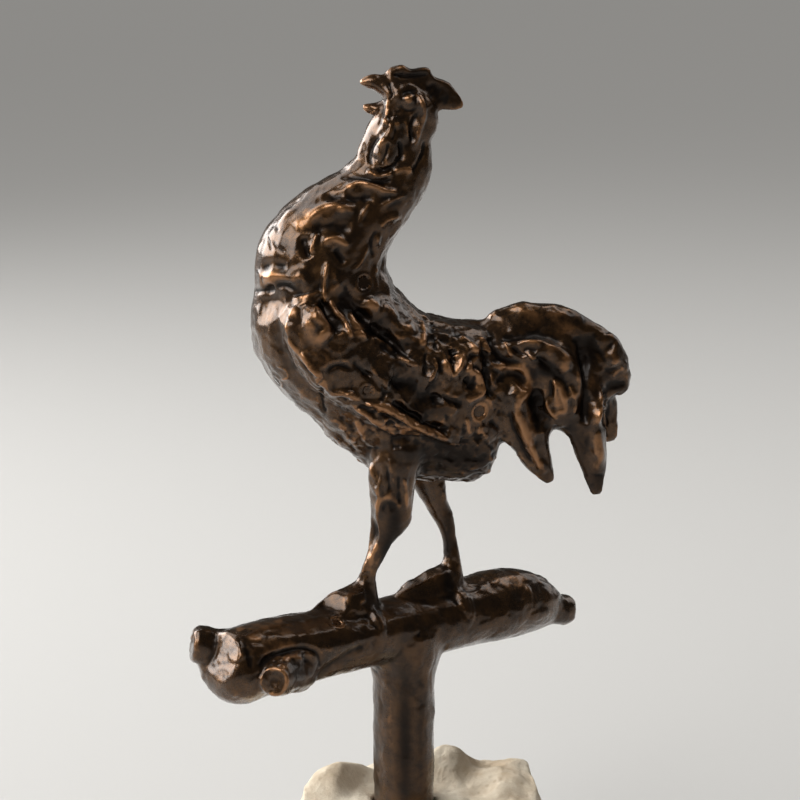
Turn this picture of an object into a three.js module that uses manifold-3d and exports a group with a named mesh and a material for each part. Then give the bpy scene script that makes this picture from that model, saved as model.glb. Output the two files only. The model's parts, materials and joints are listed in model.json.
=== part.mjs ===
// Bronze rooster crowing on a branch perch. Castings are brazed and pinned together, and the
// perch's post is bolted down to a rough stone base with felt under it.
// Millimetres, +Z up. The origin is on the underside of the felt, on the post's axis.
// The rooster faces -X, so its left side faces -Y.

import * as THREE from "three";
import { mergeVertices } from "three/addons/utils/BufferGeometryUtils.js";
import Module from "manifold-3d";

const wasm = await Module();
wasm.setup();

// Fits
const JOINT_GAP = 0.3; // brazing gap between neighbouring pieces
const PIN_PROUD = 0.1; // pins and plugs stand this far out of the chased surface

// Stone base and its fixing
const FELT_THICKNESS = 1.5;
const FELT_MARGIN = 3; // the felt stops short of the stone's edge
const STONE_HEIGHT = 43; // underside to the level of the post's seat
const STONE_HALF_LENGTH = 37; // along X
const STONE_HALF_DEPTH = 34; // along Y
const STONE_SHIFT_X = 7; // the post doesn't stand in the middle of the stone
const STONE_SHIFT_Y = 2;
const RIM_DROP = 4; // the stone's rim lies this far below its top
const RIM_RISE = 7; // and rises this far at the rear
const CROWN_RISE = 2.5;
const SEAT_DEPTH = 3; // spot-faced recess that the post stands in
const STUD_RADIUS = 4;
const STUD_CLEARANCE = 0.5;
const STUD_IN_POST = 22;
const STUD_PAST_NUT = 2;
const COUNTERBORE_RADIUS = 14;
const COUNTERBORE_DEPTH = 14;
const WASHER_RADIUS = 12;
const WASHER_THICKNESS = 1.6;
const NUT_ACROSS_FLATS = 13;
const NUT_HEIGHT = 6.5;

// Perch
const POST_RADIUS = 8.6;
const POST_LENGTH = 53; // seat to the branch's axis
const POST_FLARE = 2.4; // how far the post swells where it meets the branch
const POST_TENON_RADIUS = 4.5;
const POST_TENON_REACH = 3; // past the branch's axis
const BRANCH_TURN = 27; // degrees between the branch and the rooster's heading
const BRANCH_RADIUS = 9.3;
const BRANCH_FRONT_LENGTH = 64; // from the post's axis, under the rooster's breast
const BRANCH_REAR_LENGTH = 55;

// Castings of the rooster
const NECK_WALL = 2.5;
const COLLAR_WALL = 2;
const COLLAR_HEIGHT = 8; // the body's collar stands this far up inside the hollow neck
const PIN_RADIUS = 1.6;
const PLUG_RADIUS = 1.2;
const PLUG_DEPTH = 4;
const PIN_BLANK = 40; // pins are cut from bars of this length
const RIVET_RADIUS = 1;
const LEG_PEG_RADIUS = 3;
const LEG_PEG_LENGTH = 9;
const DOWEL_RADIUS = 1.5;
const DOWEL_IN_FOOT = 6;
const DOWEL_IN_BRANCH = 7;
const COMB_THICKNESS = 3.4;
const COMB_ROUNDING = 0.8;
const TOE_RADIUS = 1.7;
const TOE_LENGTH = 19;
const CLAW_RADIUS = 1.3;
const PAD_BREADTH = 10; // the front toes are cast as one wedge-shaped pad
const PAD_HEIGHT = 8;

// Side view of the trunk from the head down to the rump. Each row is one oval section: its front
// or lower point and its back or upper point as [x, z] above the perch, then its half width.
const TRUNK = [
  [[-5.4, 138.0], [7.6, 138.6], 4.8],
  [[-8.7, 132.9], [9.0, 131.9], 5.8],
  [[-11.5, 126.8], [7.1, 126.8], 6.4],
  [[-14.8, 121.2], [7.6, 121.6], 7.6],
  [[-21.6, 117.5], [6.5, 115.4], 9.4],
  [[-31.1, 111.6], [1.3, 107.3], 11.6],
  [[-38.2, 103.1], [-3.6, 100.9], 13.6],
  [[-40.7, 95.3], [-5.3, 95.2], 15.0],
  [[-40.8, 87.6], [-3.3, 88.8], 16.0],
  [[-42.0, 79.4], [0.0, 84.8], 17.0],
  [[-40.4, 69.4], [5.2, 80.2], 18.0],
  [[-33.4, 59.4], [11.3, 78.0], 18.0],
  [[-22.7, 49.7], [16.1, 77.3], 17.4],
  [[-11.7, 38.5], [22.5, 76.5], 16.0],
  [[0.3, 34.0], [26.7, 74.1], 14.0],
  [[12.9, 32.7], [28.4, 68.5], 12.0],
  [[20.7, 33.2], [28.7, 60.0], 9.0],
  [[24.4, 38.1], [28.0, 50.2], 4.5],
];
const CORE_FIRST = 5; // the casting core fills the trunk from this section
const CORE_LAST = 15; // to this one
const NECK_SEAM = [-20, 87.5]; // a point of the seam under the neck hackle
const NECK_SEAM_TILT = 3; // degrees that the seam falls towards the breast

// Head, as [lower point, upper point, half width] from the nape to the tip of each half of the beak
const SKULL = [
  [[9.0, 132.0], [8.1, 137.9], 2.4],
  [[6.5, 129.5], [6.5, 140.6], 5.0],
  [[2.1, 130.5], [2.1, 142.9], 6.0],
  [[-1.7, 133.3], [-1.7, 144.0], 5.4],
  [[-4.4, 135.5], [-4.4, 144.1], 4.1],
  [[-5.5, 139.3], [-6.3, 144.7], 2.8],
  [[-7.9, 141.5], [-8.2, 145.3], 2.0],
  [[-10.4, 142.6], [-10.3, 144.8], 1.2],
  [[-11.8, 143.0], [-11.4, 144.0], 0.5],
];
const LOWER_BEAK = [
  [[-1.0, 133.0], [-1.0, 137.6], 3.2],
  [[-4.4, 134.7], [-4.9, 138.2], 2.9],
  [[-7.1, 134.7], [-7.1, 137.4], 2.0],
  [[-9.3, 135.1], [-9.3, 137.4], 1.4],
  [[-11.2, 136.4], [-10.9, 137.3], 0.5],
];
// Outline of the comb in the side view: two lobes on the crown and a long one behind
const COMB = [
  [-4.2, 143.0], [-4.6, 146.2], [-2.5, 147.5], [-0.3, 147.8], [1.9, 146.6], [4.3, 147.1],
  [6.8, 146.8], [8.3, 144.4], [11.1, 143.7], [13.9, 141.0], [15.8, 137.7], [15.2, 135.9],
  [9.0, 136.0], [4.0, 138.0],
];
// Limbs, plumes and wings are skinned along a line. Each row is [x, y, z, breadth, thickness], with
// y on the rooster's left side taken as positive; breadth lies in the side view.
const WATTLE = [
  [-3.6, 5.0, 134.6, 3.0, 3.0],
  [-4.8, 6.0, 129.0, 5.4, 3.6],
  [-5.6, 6.4, 123.0, 6.4, 3.8],
  [-5.6, 6.4, 119.8, 2.4, 2.0],
];
const WING = [
  [-34.0, 11.5, 85.5, 6.0, 4.0],
  [-30.0, 14.6, 82.0, 13.0, 7.6],
  [-24.2, 16.8, 75.0, 19.0, 8.2],
  [-15.5, 17.4, 66.8, 18.0, 6.6],
  [-6.7, 16.6, 58.6, 12.0, 5.4],
  [1.5, 15.4, 53.2, 6.0, 4.4],
  [10.3, 13.9, 48.3, 1.8, 1.8],
];
// Pins and plugs in the flank: [x, z] in the side view, degrees from sideways to forwards, and where the
// inner end lies from the middle
const WING_RIVET = { at: [-13.6, 63.8], lean: 0, start: 10 };
const LEFT_LEG = [
  [-1.5, 9.5, 47.0, 15.0, 11.0],
  [-4.8, 9.2, 38.0, 13.6, 10.4],
  [-5.0, 8.7, 29.6, 12.2, 9.2],
  [-5.3, 8.3, 25.2, 11.4, 8.4],
  [-6.7, 7.8, 21.8, 8.6, 6.8],
  [-7.9, 7.4, 18.4, 6.4, 5.4],
  [-9.2, 7.0, 14.2, 4.8, 4.4],
  [-10.6, 6.5, 10.6, 4.4, 4.2],
  [-11.6, 6.1, 7.2, 5.0, 4.8],
  [-11.6, 5.9, 3.0, 6.6, 6.0],
  [-11.4, 5.8, -2.0, 7.4, 6.6],
];
const RIGHT_LEG = [
  [4.5, 9.5, 45.0, 14.0, 11.0],
  [7.3, 9.2, 35.5, 12.0, 9.8],
  [10.3, 8.8, 25.2, 6.6, 6.6],
  [13.0, 8.3, 18.8, 4.8, 4.8],
  [14.2, 8.0, 14.5, 4.4, 4.2],
  [14.8, 7.7, 10.1, 4.6, 4.4],
  [14.9, 7.5, 6.0, 5.4, 5.0],
  [14.8, 7.5, 2.4, 6.8, 6.0],
  [14.8, 7.5, -2.0, 7.4, 6.6],
];
// Lower point, upper point and half width of the tail's core, from the rump outwards
const TAIL_CORE = [
  [[20.0, 46.0], [20.0, 74.0], 8.0],
  [[26.5, 43.4], [27.0, 78.0], 9.2],
  [[33.0, 44.4], [34.0, 79.0], 8.8],
  [[40.0, 45.6], [41.0, 77.5], 7.8],
  [[46.5, 45.6], [48.0, 74.0], 6.6],
  [[52.0, 47.0], [54.0, 69.0], 5.2],
  [[56.0, 51.0], [57.4, 62.0], 3.0],
];
const TAIL_SPIGOT = [[31.0, 60.0], [15.0, 57.0]]; // its axis in the side view
const TAIL_SPIGOT_BREADTH = 15;
const TAIL_SPIGOT_THICKNESS = 10;
const TAIL_PIN = { at: [18.4, 55], lean: 0, start: 1 };
const SICKLE_TOP = [
  [18.5, 0, 73.0, 3.0, 4.0],
  [28.0, 0, 77.0, 8.2, 8.0],
  [37.0, 0, 77.7, 8.6, 8.6],
  [46.0, 0, 75.2, 8.6, 8.4],
  [52.8, 0, 71.4, 8.4, 8.0],
  [57.4, 0, 67.2, 8.2, 7.4],
  [59.7, 0, 62.2, 8.0, 7.0],
  [60.0, 0, 57.4, 6.8, 5.8],
  [60.0, 0, 55.4, 3.4, 3.0],
];
const SICKLE_LEFT = [
  [31.2, 4.0, 70.8, 5.0, 4.0],
  [40.4, 5.0, 68.4, 8.8, 5.2],
  [46.8, 5.4, 59.0, 10.4, 5.6],
  [49.8, 5.4, 49.4, 11.4, 5.4],
  [50.8, 5.2, 42.4, 9.6, 5.0],
  [52.2, 5.0, 37.2, 7.0, 4.6],
  [53.2, 4.8, 31.6, 4.8, 3.6],
  [53.4, 4.8, 28.4, 2.4, 2.0],
];
const SICKLE_RIGHT = [
  [36.2, 4.0, 69.5, 5.0, 4.0],
  [48.9, 5.0, 66.4, 8.0, 5.2],
  [56.0, 5.2, 56.4, 7.4, 5.0],
  [58.4, 5.2, 47.8, 6.0, 4.4],
  [58.8, 5.0, 42.4, 5.0, 3.8],
  [58.8, 5.0, 40.8, 3.0, 2.2],
];
const PLUME_UPPER = [
  [23.0, 6.8, 69.6, 4.0, 3.0],
  [32.0, 7.7, 69.8, 8.6, 5.0],
  [39.6, 7.5, 64.2, 10.2, 5.0],
  [42.4, 6.9, 56.4, 9.4, 4.6],
  [42.8, 6.5, 50.8, 5.6, 3.4],
  [42.8, 6.4, 48.4, 2.4, 2.0],
];
const PLUME_LOWER = [
  [22.4, 7.6, 63.0, 5.0, 3.6],
  [28.6, 8.2, 57.2, 11.0, 5.4],
  [32.2, 7.6, 48.6, 12.4, 5.4],
  [34.9, 6.6, 41.6, 9.4, 4.8],
  [38.0, 5.9, 36.0, 5.4, 3.8],
  [39.9, 5.6, 32.8, 2.2, 2.0],
];
const FAR_PLUME_SHIFT_X = -1.5; // the right-hand plumes are set further forward
const FAR_PLUME_SHIFT_Z = 4; // and higher
const BREAST_PLUG = { at: [-31, 64], lean: 40, start: 4 };
const NECK_PIN = { at: [-13.4, 91.6], lean: 0, start: 7 };
const BRANCH_PLUG = { along: -26.8, roll: 34 }; // along the branch, then degrees down from its top

// Branch: [share of the arm's length, rise of the axis, swelling of the radius], front end to rear end
const BRANCH_PROFILE = [
  [-1.0, 0.0, -5.6],
  [-0.985, 0.2, -2.0],
  [-0.94, 0.2, 0.4],
  [-0.86, 0.2, 1.2],
  [-0.75, 1.0, 0.9],
  [-0.55, 1.1, 0.5],
  [-0.4, 0.9, -0.3],
  [-0.15, 0.4, -0.3],
  [0.15, 0.2, 0.2],
  [0.4, 0.8, 0.3],
  [0.62, 1.2, 0.9],
  [0.8, 0.4, -0.6],
  [0.91, -1.0, -2.6],
  [0.97, -2.0, -4.6],
  [1.0, -2.6, -6.6],
];
// Cut stubs of side twigs, in the branch's own directions: [along, across to the rear, up] of the root and
// of the cut end, then the radius at each
const TWIGS = [
  [[-38, -3.4, -3.4], [-53.4, -13.2, -1.6], 6.0, 4.1],
  [[-55, 3, 3.6], [-64.6, 8.4, 5.4], 5.4, 4.8],
  [[46, -1, -2], [58.6, -1.5, -4.8], 4.8, 3.9],
];

// Mesh resolution
const ROUND_SIDES = 24;
const BODY_SIDES = 20;
const LIMB_SIDES = 10;
const PLUME_SIDES = 11;

// Solids: a closed geometry becomes a solid that can be joined and cut, and back again

function solidOf(geometry) {
  const bare = geometry.index ? geometry.toNonIndexed() : geometry.clone();
  bare.deleteAttribute("normal");
  bare.deleteAttribute("uv");
  const merged = mergeVertices(bare, 1e-4);
  const vertProperties = merged.attributes.position.array;
  const triVerts = new Uint32Array(merged.index.array);
  return new wasm.Manifold(new wasm.Mesh({ numProp: 3, vertProperties, triVerts }));
}

function geometryOf(solid) {
  const mesh = solid.getMesh();
  return new THREE.BufferGeometry()
    .setAttribute("position", new THREE.BufferAttribute(mesh.vertProperties, 3))
    .setIndex(new THREE.BufferAttribute(mesh.triVerts, 1));
}

// The main body of a cut solid, without the offcuts
function mainBody(solid) {
  const bodies = solid.decompose();
  return bodies.reduce((best, body) => (body.volume() > best.volume() ? body : best));
}

const joined = (solids) => solids.reduce((all, next) => all.add(next));
const cutBy = (solid, cutters) => mainBody(cutters.reduce((left, cutter) => left.subtract(cutter), solid));

// The part of a solid on the side of a plane that the normal points to
function keepSide(solid, normal, point) {
  const n = normal.clone().normalize();
  return solid.trimByPlane([n.x, n.y, n.z], n.dot(point));
}

// Skins: a closed form over oval sections, each with a centre and two half axes

function closedSkin(rings) {
  const sides = rings[0].length;
  const points = rings.flat();
  const faces = [];
  for (let ring = 0; ring + 1 < rings.length; ring++) {
    for (let side = 0; side < sides; side++) {
      const a = ring * sides + side;
      const b = ring * sides + ((side + 1) % sides);
      faces.push(a, b, b + sides, a, b + sides, a + sides);
    }
  }
  const centreOf = (ring) => ring.reduce((sum, p) => sum.add(p), new THREE.Vector3()).divideScalar(sides);
  const lastRing = (rings.length - 1) * sides;
  const startPole = points.push(centreOf(rings[0])) - 1;
  const endPole = points.push(centreOf(rings.at(-1))) - 1;
  for (let side = 0; side < sides; side++) {
    const next = (side + 1) % sides;
    faces.push(startPole, next, side, endPole, lastRing + side, lastRing + next);
  }
  let volume = 0;
  for (let i = 0; i < faces.length; i += 3) {
    const [a, b, c] = faces.slice(i, i + 3).map((index) => points[index]);
    volume += a.dot(b.clone().cross(c));
  }
  const geometry = new THREE.BufferGeometry().setFromPoints(points);
  geometry.setIndex(volume < 0 ? faces.reverse() : faces);
  return geometry;
}

// Sections are { centre, u, v }. grow moves the whole skin outwards, fullness above 2 squares it
// up, and relief(share, angle) is a factor on the radius.
function skin(sections, { rings, sides, grow = 0, fullness = 2, relief = () => 1 }) {
  const curveOf = (key) => new THREE.CatmullRomCurve3(sections.map((s) => s[key]), false, "catmullrom", 0.5);
  const [centres, us, vs] = ["centre", "u", "v"].map(curveOf);
  const made = [];
  for (let i = 0; i < rings; i++) {
    const share = i / (rings - 1);
    const centre = centres.getPoint(share);
    if (i === 0) centre.addScaledVector(centres.getTangent(0), -grow);
    if (i === rings - 1) centre.addScaledVector(centres.getTangent(1), grow);
    const u = us.getPoint(share);
    const v = vs.getPoint(share);
    u.setLength(Math.max(u.length() + grow, 0.2));
    v.setLength(Math.max(v.length() + grow, 0.2));
    const ring = [];
    for (let k = 0; k < sides; k++) {
      const angle = (2 * Math.PI * k) / sides;
      const square = (x) => Math.sign(x) * Math.abs(x) ** (2 / fullness);
      const factor = relief(share, angle);
      const point = centre.clone().addScaledVector(u, factor * square(Math.cos(angle)));
      ring.push(point.addScaledVector(v, factor * square(Math.sin(angle))));
    }
    made.push(ring);
  }
  return solidOf(closedSkin(made));
}

// Sections from rows of [lower point, upper point, half width] in the side view
function profileSections(rows) {
  return rows.map(([low, high, half]) => ({
    centre: new THREE.Vector3((low[0] + high[0]) / 2, 0, (low[1] + high[1]) / 2),
    u: new THREE.Vector3((high[0] - low[0]) / 2, 0, (high[1] - low[1]) / 2),
    v: new THREE.Vector3(0, half, 0),
  }));
}

// Sections square to a line, from centres with a breadth and a thickness. side says which way the
// thickness lies.
function lineSections(stations, side) {
  const line = new THREE.CatmullRomCurve3(stations.map((s) => s.centre), false, "catmullrom", 0.5);
  return stations.map(({ centre, breadth, thickness }, i) => {
    const along = line.getTangent(i / (stations.length - 1));
    const v = side.clone().addScaledVector(along, -side.dot(along)).normalize();
    const u = v.clone().cross(along);
    return { centre, u: u.multiplyScalar(breadth / 2), v: v.multiplyScalar(thickness / 2) };
  });
}

// A limb, plume or wing from rows of [x, y, z, breadth, thickness]; hand is -1 on the left side and
// 1 on the right
function limb(rows, hand, options) {
  const stations = rows.map(([x, y, z, breadth, thickness]) => {
    return { centre: new THREE.Vector3(x, hand * y, z), breadth, thickness };
  });
  return skin(lineSections(stations, new THREE.Vector3(0, 1, 0)), options);
}

// A round bar between two points
function bar(from, to, radius, sides = LIMB_SIDES) {
  const along = to.clone().sub(from);
  const geometry = new THREE.CylinderGeometry(radius, radius, along.length(), sides);
  const turn = new THREE.Quaternion().setFromUnitVectors(new THREE.Vector3(0, 1, 0), along.normalize());
  geometry.applyQuaternion(turn);
  const middle = from.clone().add(to).divideScalar(2);
  return solidOf(geometry.translate(middle.x, middle.y, middle.z));
}

// Levels of the stack, from the table upwards

const stoneFoot = FELT_THICKNESS + JOINT_GAP;
const seatLevel = stoneFoot + STONE_HEIGHT - SEAT_DEPTH;
const branchLevel = seatLevel + POST_LENGTH;
const perchTop = branchLevel + BRANCH_RADIUS;
const counterboreTop = stoneFoot + COUNTERBORE_DEPTH;
const upright = (x, y, z) => new THREE.Vector3(x, y, z);

// Stone base: a rough block whose outline and rim wander round an oval

function stoneRing(level, scale, rimRise = 0) {
  const corners = 13;
  const ring = [];
  for (let k = 0; k < corners; k++) {
    const angle = (2 * Math.PI * k) / corners;
    const wander = scale * (1 + 0.06 * Math.sin(2 * angle + 0.6) + 0.05 * Math.cos(5 * angle + level));
    const rise = rimRise * (0.5 + 0.5 * Math.sin(angle + 0.4)) * (0.8 + 0.2 * Math.cos(4 * angle));
    ring.push(
      upright(
        STONE_SHIFT_X + STONE_HALF_LENGTH * wander * Math.cos(angle),
        STONE_SHIFT_Y + STONE_HALF_DEPTH * wander * Math.sin(angle),
        level + rise,
      ),
    );
  }
  return ring;
}

function makeStone() {
  const top = stoneFoot + STONE_HEIGHT;
  const block = solidOf(
    closedSkin([
      stoneRing(stoneFoot, 0.97),
      stoneRing(stoneFoot + 0.3 * STONE_HEIGHT, 1.04),
      stoneRing(stoneFoot + 0.72 * STONE_HEIGHT, 1.0),
      stoneRing(top - RIM_DROP, 0.88, RIM_RISE),
      stoneRing(top, 0.55, CROWN_RISE),
      stoneRing(top, (1.5 * POST_RADIUS) / STONE_HALF_LENGTH),
    ]),
  );
  const centre = upright(0, 0, 0);
  const seat = upright(0, 0, seatLevel);
  const post = bar(seat, upright(0, 0, branchLevel), POST_RADIUS + JOINT_GAP, ROUND_SIDES);
  const hole = bar(centre, upright(0, 0, top), STUD_RADIUS + STUD_CLEARANCE, ROUND_SIDES);
  const counterbore = bar(centre, upright(0, 0, counterboreTop), COUNTERBORE_RADIUS, ROUND_SIDES);
  return cutBy(block, [post, hole, counterbore]);
}

function makeFelt() {
  const share = 1 - FELT_MARGIN / STONE_HALF_DEPTH;
  const outline = (level) => stoneRing(stoneFoot, 0.97 * share).map((p) => p.setZ(level));
  return solidOf(closedSkin([outline(0), outline(FELT_THICKNESS)]));
}

// Fixing in the counterbore: washer against the stone, nut on the stud

const washerTop = counterboreTop - JOINT_GAP;
const nutTop = washerTop - WASHER_THICKNESS - JOINT_GAP;
const studFoot = nutTop - NUT_HEIGHT - STUD_PAST_NUT;
const studTop = seatLevel + STUD_IN_POST;

function makeWasher() {
  const underside = upright(0, 0, washerTop - WASHER_THICKNESS);
  const disc = bar(underside, upright(0, 0, washerTop), WASHER_RADIUS, ROUND_SIDES);
  const bore = bar(upright(0, 0, 0), upright(0, 0, studTop), STUD_RADIUS + STUD_CLEARANCE, ROUND_SIDES);
  return cutBy(disc, [bore]);
}

function makeNut() {
  const corner = NUT_ACROSS_FLATS / Math.sqrt(3);
  const hexagon = bar(upright(0, 0, nutTop - NUT_HEIGHT), upright(0, 0, nutTop), corner, 6);
  const bore = bar(upright(0, 0, 0), upright(0, 0, studTop), STUD_RADIUS + JOINT_GAP, ROUND_SIDES);
  return cutBy(hexagon, [bore]);
}

const makeStud = () => bar(upright(0, 0, studFoot), upright(0, 0, studTop), STUD_RADIUS, ROUND_SIDES);

// Perch: a knotty branch across the top of a post

const branchTurn = THREE.MathUtils.degToRad(BRANCH_TURN);
const branchAlong = upright(Math.cos(branchTurn), Math.sin(branchTurn), 0);
const branchAcross = upright(-Math.sin(branchTurn), Math.cos(branchTurn), 0);

// A point given along the branch, across it to the rear and up from its axis
function onBranch(along, across, up) {
  const point = upright(0, 0, branchLevel + up);
  return point.addScaledVector(branchAlong, along).addScaledVector(branchAcross, across);
}

function makeBranchSkin(grow) {
  const sections = BRANCH_PROFILE.map(([share, rise, swell]) => {
    const along = share * (share < 0 ? BRANCH_FRONT_LENGTH : BRANCH_REAR_LENGTH);
    const radius = BRANCH_RADIUS + swell;
    return {
      centre: onBranch(along, 0, rise),
      u: upright(0, 0, radius),
      v: branchAcross.clone().multiplyScalar(radius),
    };
  });
  const knots = (share, angle) => {
    const broad = 0.03 * Math.cos(3 * angle + 9 * share);
    return 1 + broad + 0.015 * Math.cos(5 * angle - 14 * share);
  };
  const stem = skin(sections, { rings: 21, sides: 14, grow, relief: knots });
  const twigs = TWIGS.map(([root, end, rootRadius, endRadius]) => {
    const from = onBranch(...root);
    const to = onBranch(...end);
    const stations = [0, 0.5, 0.85, 0.97, 1].map((share, i) => {
      const radius = THREE.MathUtils.lerp(rootRadius, endRadius, share) * [1, 1, 1.05, 0.95, 0.7][i];
      return { centre: from.clone().lerp(to, share), breadth: 2 * radius, thickness: 2 * radius };
    });
    return skin(lineSections(stations, upright(0, 0, 1)), { rings: 8, sides: 11, grow });
  });
  return joined([stem, ...twigs]);
}

function makePostSkin(grow) {
  const reach = branchLevel - seatLevel;
  const rows = [
    [0, 0],
    [0.3, -0.2],
    [0.6, 0],
    [0.78, 0.15],
    [0.9, 0.7],
    [1, 1],
  ];
  const sections = rows.map(([share, flare]) => {
    const girth = POST_RADIUS + POST_FLARE * Math.max(flare, 0) + 0.3 * Math.min(flare, 0);
    return {
      centre: upright(0, 0, seatLevel + share * reach),
      u: branchAlong.clone().multiplyScalar(girth + POST_FLARE * Math.max(flare, 0)),
      v: branchAcross.clone().multiplyScalar(girth),
    };
  });
  const flutes = (share, angle) => 1 + 0.012 * (Math.cos(5 * angle + 2 * share) - 1);
  return skin(sections, { rings: 8, sides: 18, grow, relief: flutes });
}

// Rooster: everything above the perch is placed by this height

const raise = (solid) => solid.translate([0, 0, perchTop]);

const bodyWall = NECK_WALL + JOINT_GAP + COLLAR_WALL;
const trunkSections = profileSections(TRUNK);
const coreSections = trunkSections.slice(CORE_FIRST, CORE_LAST + 1);
const trunkOptions = { rings: 27, sides: BODY_SIDES, fullness: 2.15 };
const makeTrunk = (grow) => raise(skin(trunkSections, { ...trunkOptions, grow }));
const makeCore = (grow) => raise(skin(coreSections, { ...trunkOptions, rings: 11, sides: 12, grow }));

const seamTilt = THREE.MathUtils.degToRad(NECK_SEAM_TILT);
const seamUp = upright(-Math.sin(seamTilt), 0, Math.cos(seamTilt));
const seamCentre = upright(NECK_SEAM[0], 0, NECK_SEAM[1] + perchTop);
const seamPoint = (height) => seamCentre.clone().addScaledVector(seamUp, height);
const aboveSeam = (solid, height) => keepSide(solid, seamUp, seamPoint(height));
const belowSeam = (solid, height) => keepSide(solid, seamUp.clone().negate(), seamPoint(height));

const headOptions = { rings: 16, sides: 14 };
const makeHeadSkin = (grow) => {
  const skull = raise(skin(profileSections(SKULL), { ...headOptions, grow }));
  const lowerBeak = raise(skin(profileSections(LOWER_BEAK), { rings: 10, sides: 12, grow }));
  return skull.add(lowerBeak);
};

function makeComb(headGrown, neckGrown) {
  const outline = new THREE.SplineCurve([...COMB, COMB[0]].map(([x, z]) => new THREE.Vector2(x, z)));
  const shape = new THREE.Shape(outline.getPoints(2 * COMB.length));
  const flat = COMB_THICKNESS - 2 * COMB_ROUNDING;
  const slab = new THREE.ExtrudeGeometry(shape, {
    depth: flat,
    steps: 1,
    bevelEnabled: true,
    bevelSize: COMB_ROUNDING,
    bevelOffset: -COMB_ROUNDING,
    bevelThickness: COMB_ROUNDING,
    bevelSegments: 2,
  });
  slab.translate(0, 0, -flat / 2).rotateX(Math.PI / 2);
  return cutBy(raise(solidOf(slab)), [headGrown, neckGrown]);
}

// A pin or plug through the flank
function flankBar({ at: [x, z], lean, start }, hand, radius) {
  const turn = THREE.MathUtils.degToRad(lean);
  const outwards = upright(-Math.sin(turn), hand * Math.cos(turn), 0);
  const inside = upright(x, 0, z + perchTop).addScaledVector(outwards, start);
  return bar(inside, inside.clone().addScaledVector(outwards, PIN_BLANK), radius);
}

// Feet: the front toes lie along the branch in one pad, and the hind claw hangs down the near side

function footPath(alongStart, radius, steps) {
  const height = BRANCH_RADIUS + 0.4 * radius;
  return steps.map(([along, roll, girth]) => {
    const angle = THREE.MathUtils.degToRad(roll);
    const centre = onBranch(alongStart + along, height * Math.sin(angle), height * Math.cos(angle));
    return { centre, breadth: 2 * radius * girth, thickness: 2 * radius * girth };
  });
}

function makeFoot(alongStart) {
  const toe = (length, roll) =>
    footPath(alongStart, TOE_RADIUS, [
      [1, 0, 1.6],
      [-0.3 * length, 0.4 * roll, 1.5],
      [-0.6 * length, 0.8 * roll, 1.25],
      [-0.85 * length, roll, 0.95],
      [-length, roll, 0.4],
    ]);
  const claw = footPath(alongStart, CLAW_RADIUS, [
    [-0.16 * TOE_LENGTH, 0, 1.3],
    [-0.1 * TOE_LENGTH, -24, 1.1],
    [-0.07 * TOE_LENGTH, -42, 0.9],
    [-0.06 * TOE_LENGTH, -58, 0.7],
    [-0.06 * TOE_LENGTH, -70, 0.35],
  ]);
  const pad = [
    [0.14, 0.5, 0.3],
    [-0.02, 0.85, 0.74],
    [-0.2, 1, 0.88],
    [-0.45, 1.04, 0.76],
    [-0.72, 0.84, 0.52],
    [-0.97, 0.4, 0.2],
  ].map(([share, breadth, height]) => ({
    centre: onBranch(alongStart + share * TOE_LENGTH, 0, BRANCH_RADIUS),
    breadth: PAD_BREADTH * breadth,
    thickness: 2 * PAD_HEIGHT * height,
  }));
  const paths = [toe(TOE_LENGTH, 0), toe(0.75 * TOE_LENGTH, -18), toe(0.75 * TOE_LENGTH, 18), claw, pad];
  return joined(
    paths.map((path) => skin(lineSections(path, upright(0, 0, 1)), { rings: 6, sides: 7 })),
  );
}

function makeLeg(rows, hand, alongStart, bodyGrown, branchGrown) {
  const shank = raise(limb(rows, hand, { rings: 18, sides: LIMB_SIDES }));
  const whole = cutBy(shank.add(makeFoot(alongStart)), [bodyGrown, branchGrown]);
  return whole;
}

const hipOf = (rows, hand) => upright(rows[1][0], hand * rows[1][1], rows[1][2] + perchTop);
const legPeg = (rows, hand, grow) => {
  const hip = hipOf(rows, hand);
  return bar(hip, hip.clone().add(upright(0, 0, LEG_PEG_LENGTH + grow)), LEG_PEG_RADIUS + grow);
};
const ankleOf = (rows, hand) => upright(rows.at(-1)[0], hand * rows.at(-1)[1], perchTop);
const footDowel = (rows, hand, grow) => {
  const ankle = ankleOf(rows, hand);
  const foot = ankle.clone().setZ(perchTop - DOWEL_IN_BRANCH - grow);
  const head = ankle.clone().setZ(perchTop + DOWEL_IN_FOOT + grow);
  return bar(foot, head, DOWEL_RADIUS + grow);
};

// Tail: plumes let into a core that plugs into the rump

const plumeOptions = { rings: 11, sides: PLUME_SIDES, fullness: 1.8 };
const farRow = ([x, y, z, ...size]) => [x + FAR_PLUME_SHIFT_X, y, z + FAR_PLUME_SHIFT_Z, ...size];
const farPlume = (rows) => rows.map(farRow);
const makePlume = (rows, hand, grow) => raise(limb(rows, hand, { ...plumeOptions, grow }));
const plumeList = [
  { name: "tail_sickle_top", rows: SICKLE_TOP, hand: -1 },
  { name: "tail_sickle_left", rows: SICKLE_LEFT, hand: -1 },
  { name: "tail_sickle_right", rows: SICKLE_RIGHT, hand: 1 },
  { name: "tail_plume_upper_left", rows: PLUME_UPPER, hand: -1 },
  { name: "tail_plume_upper_right", rows: farPlume(PLUME_UPPER), hand: 1 },
  { name: "tail_plume_lower_left", rows: PLUME_LOWER, hand: -1 },
  { name: "tail_plume_lower_right", rows: farPlume(PLUME_LOWER), hand: 1 },
];

function makeTailSpigot(grow) {
  const [outer, inner] = TAIL_SPIGOT.map(([x, z]) => upright(x, 0, z));
  const stations = [0, 0.5, 1].map((share) => ({
    centre: outer.clone().lerp(inner, share),
    breadth: TAIL_SPIGOT_BREADTH,
    thickness: TAIL_SPIGOT_THICKNESS,
  }));
  return raise(skin(lineSections(stations, upright(0, 1, 0)), { rings: 3, sides: 14, grow }));
}

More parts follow.
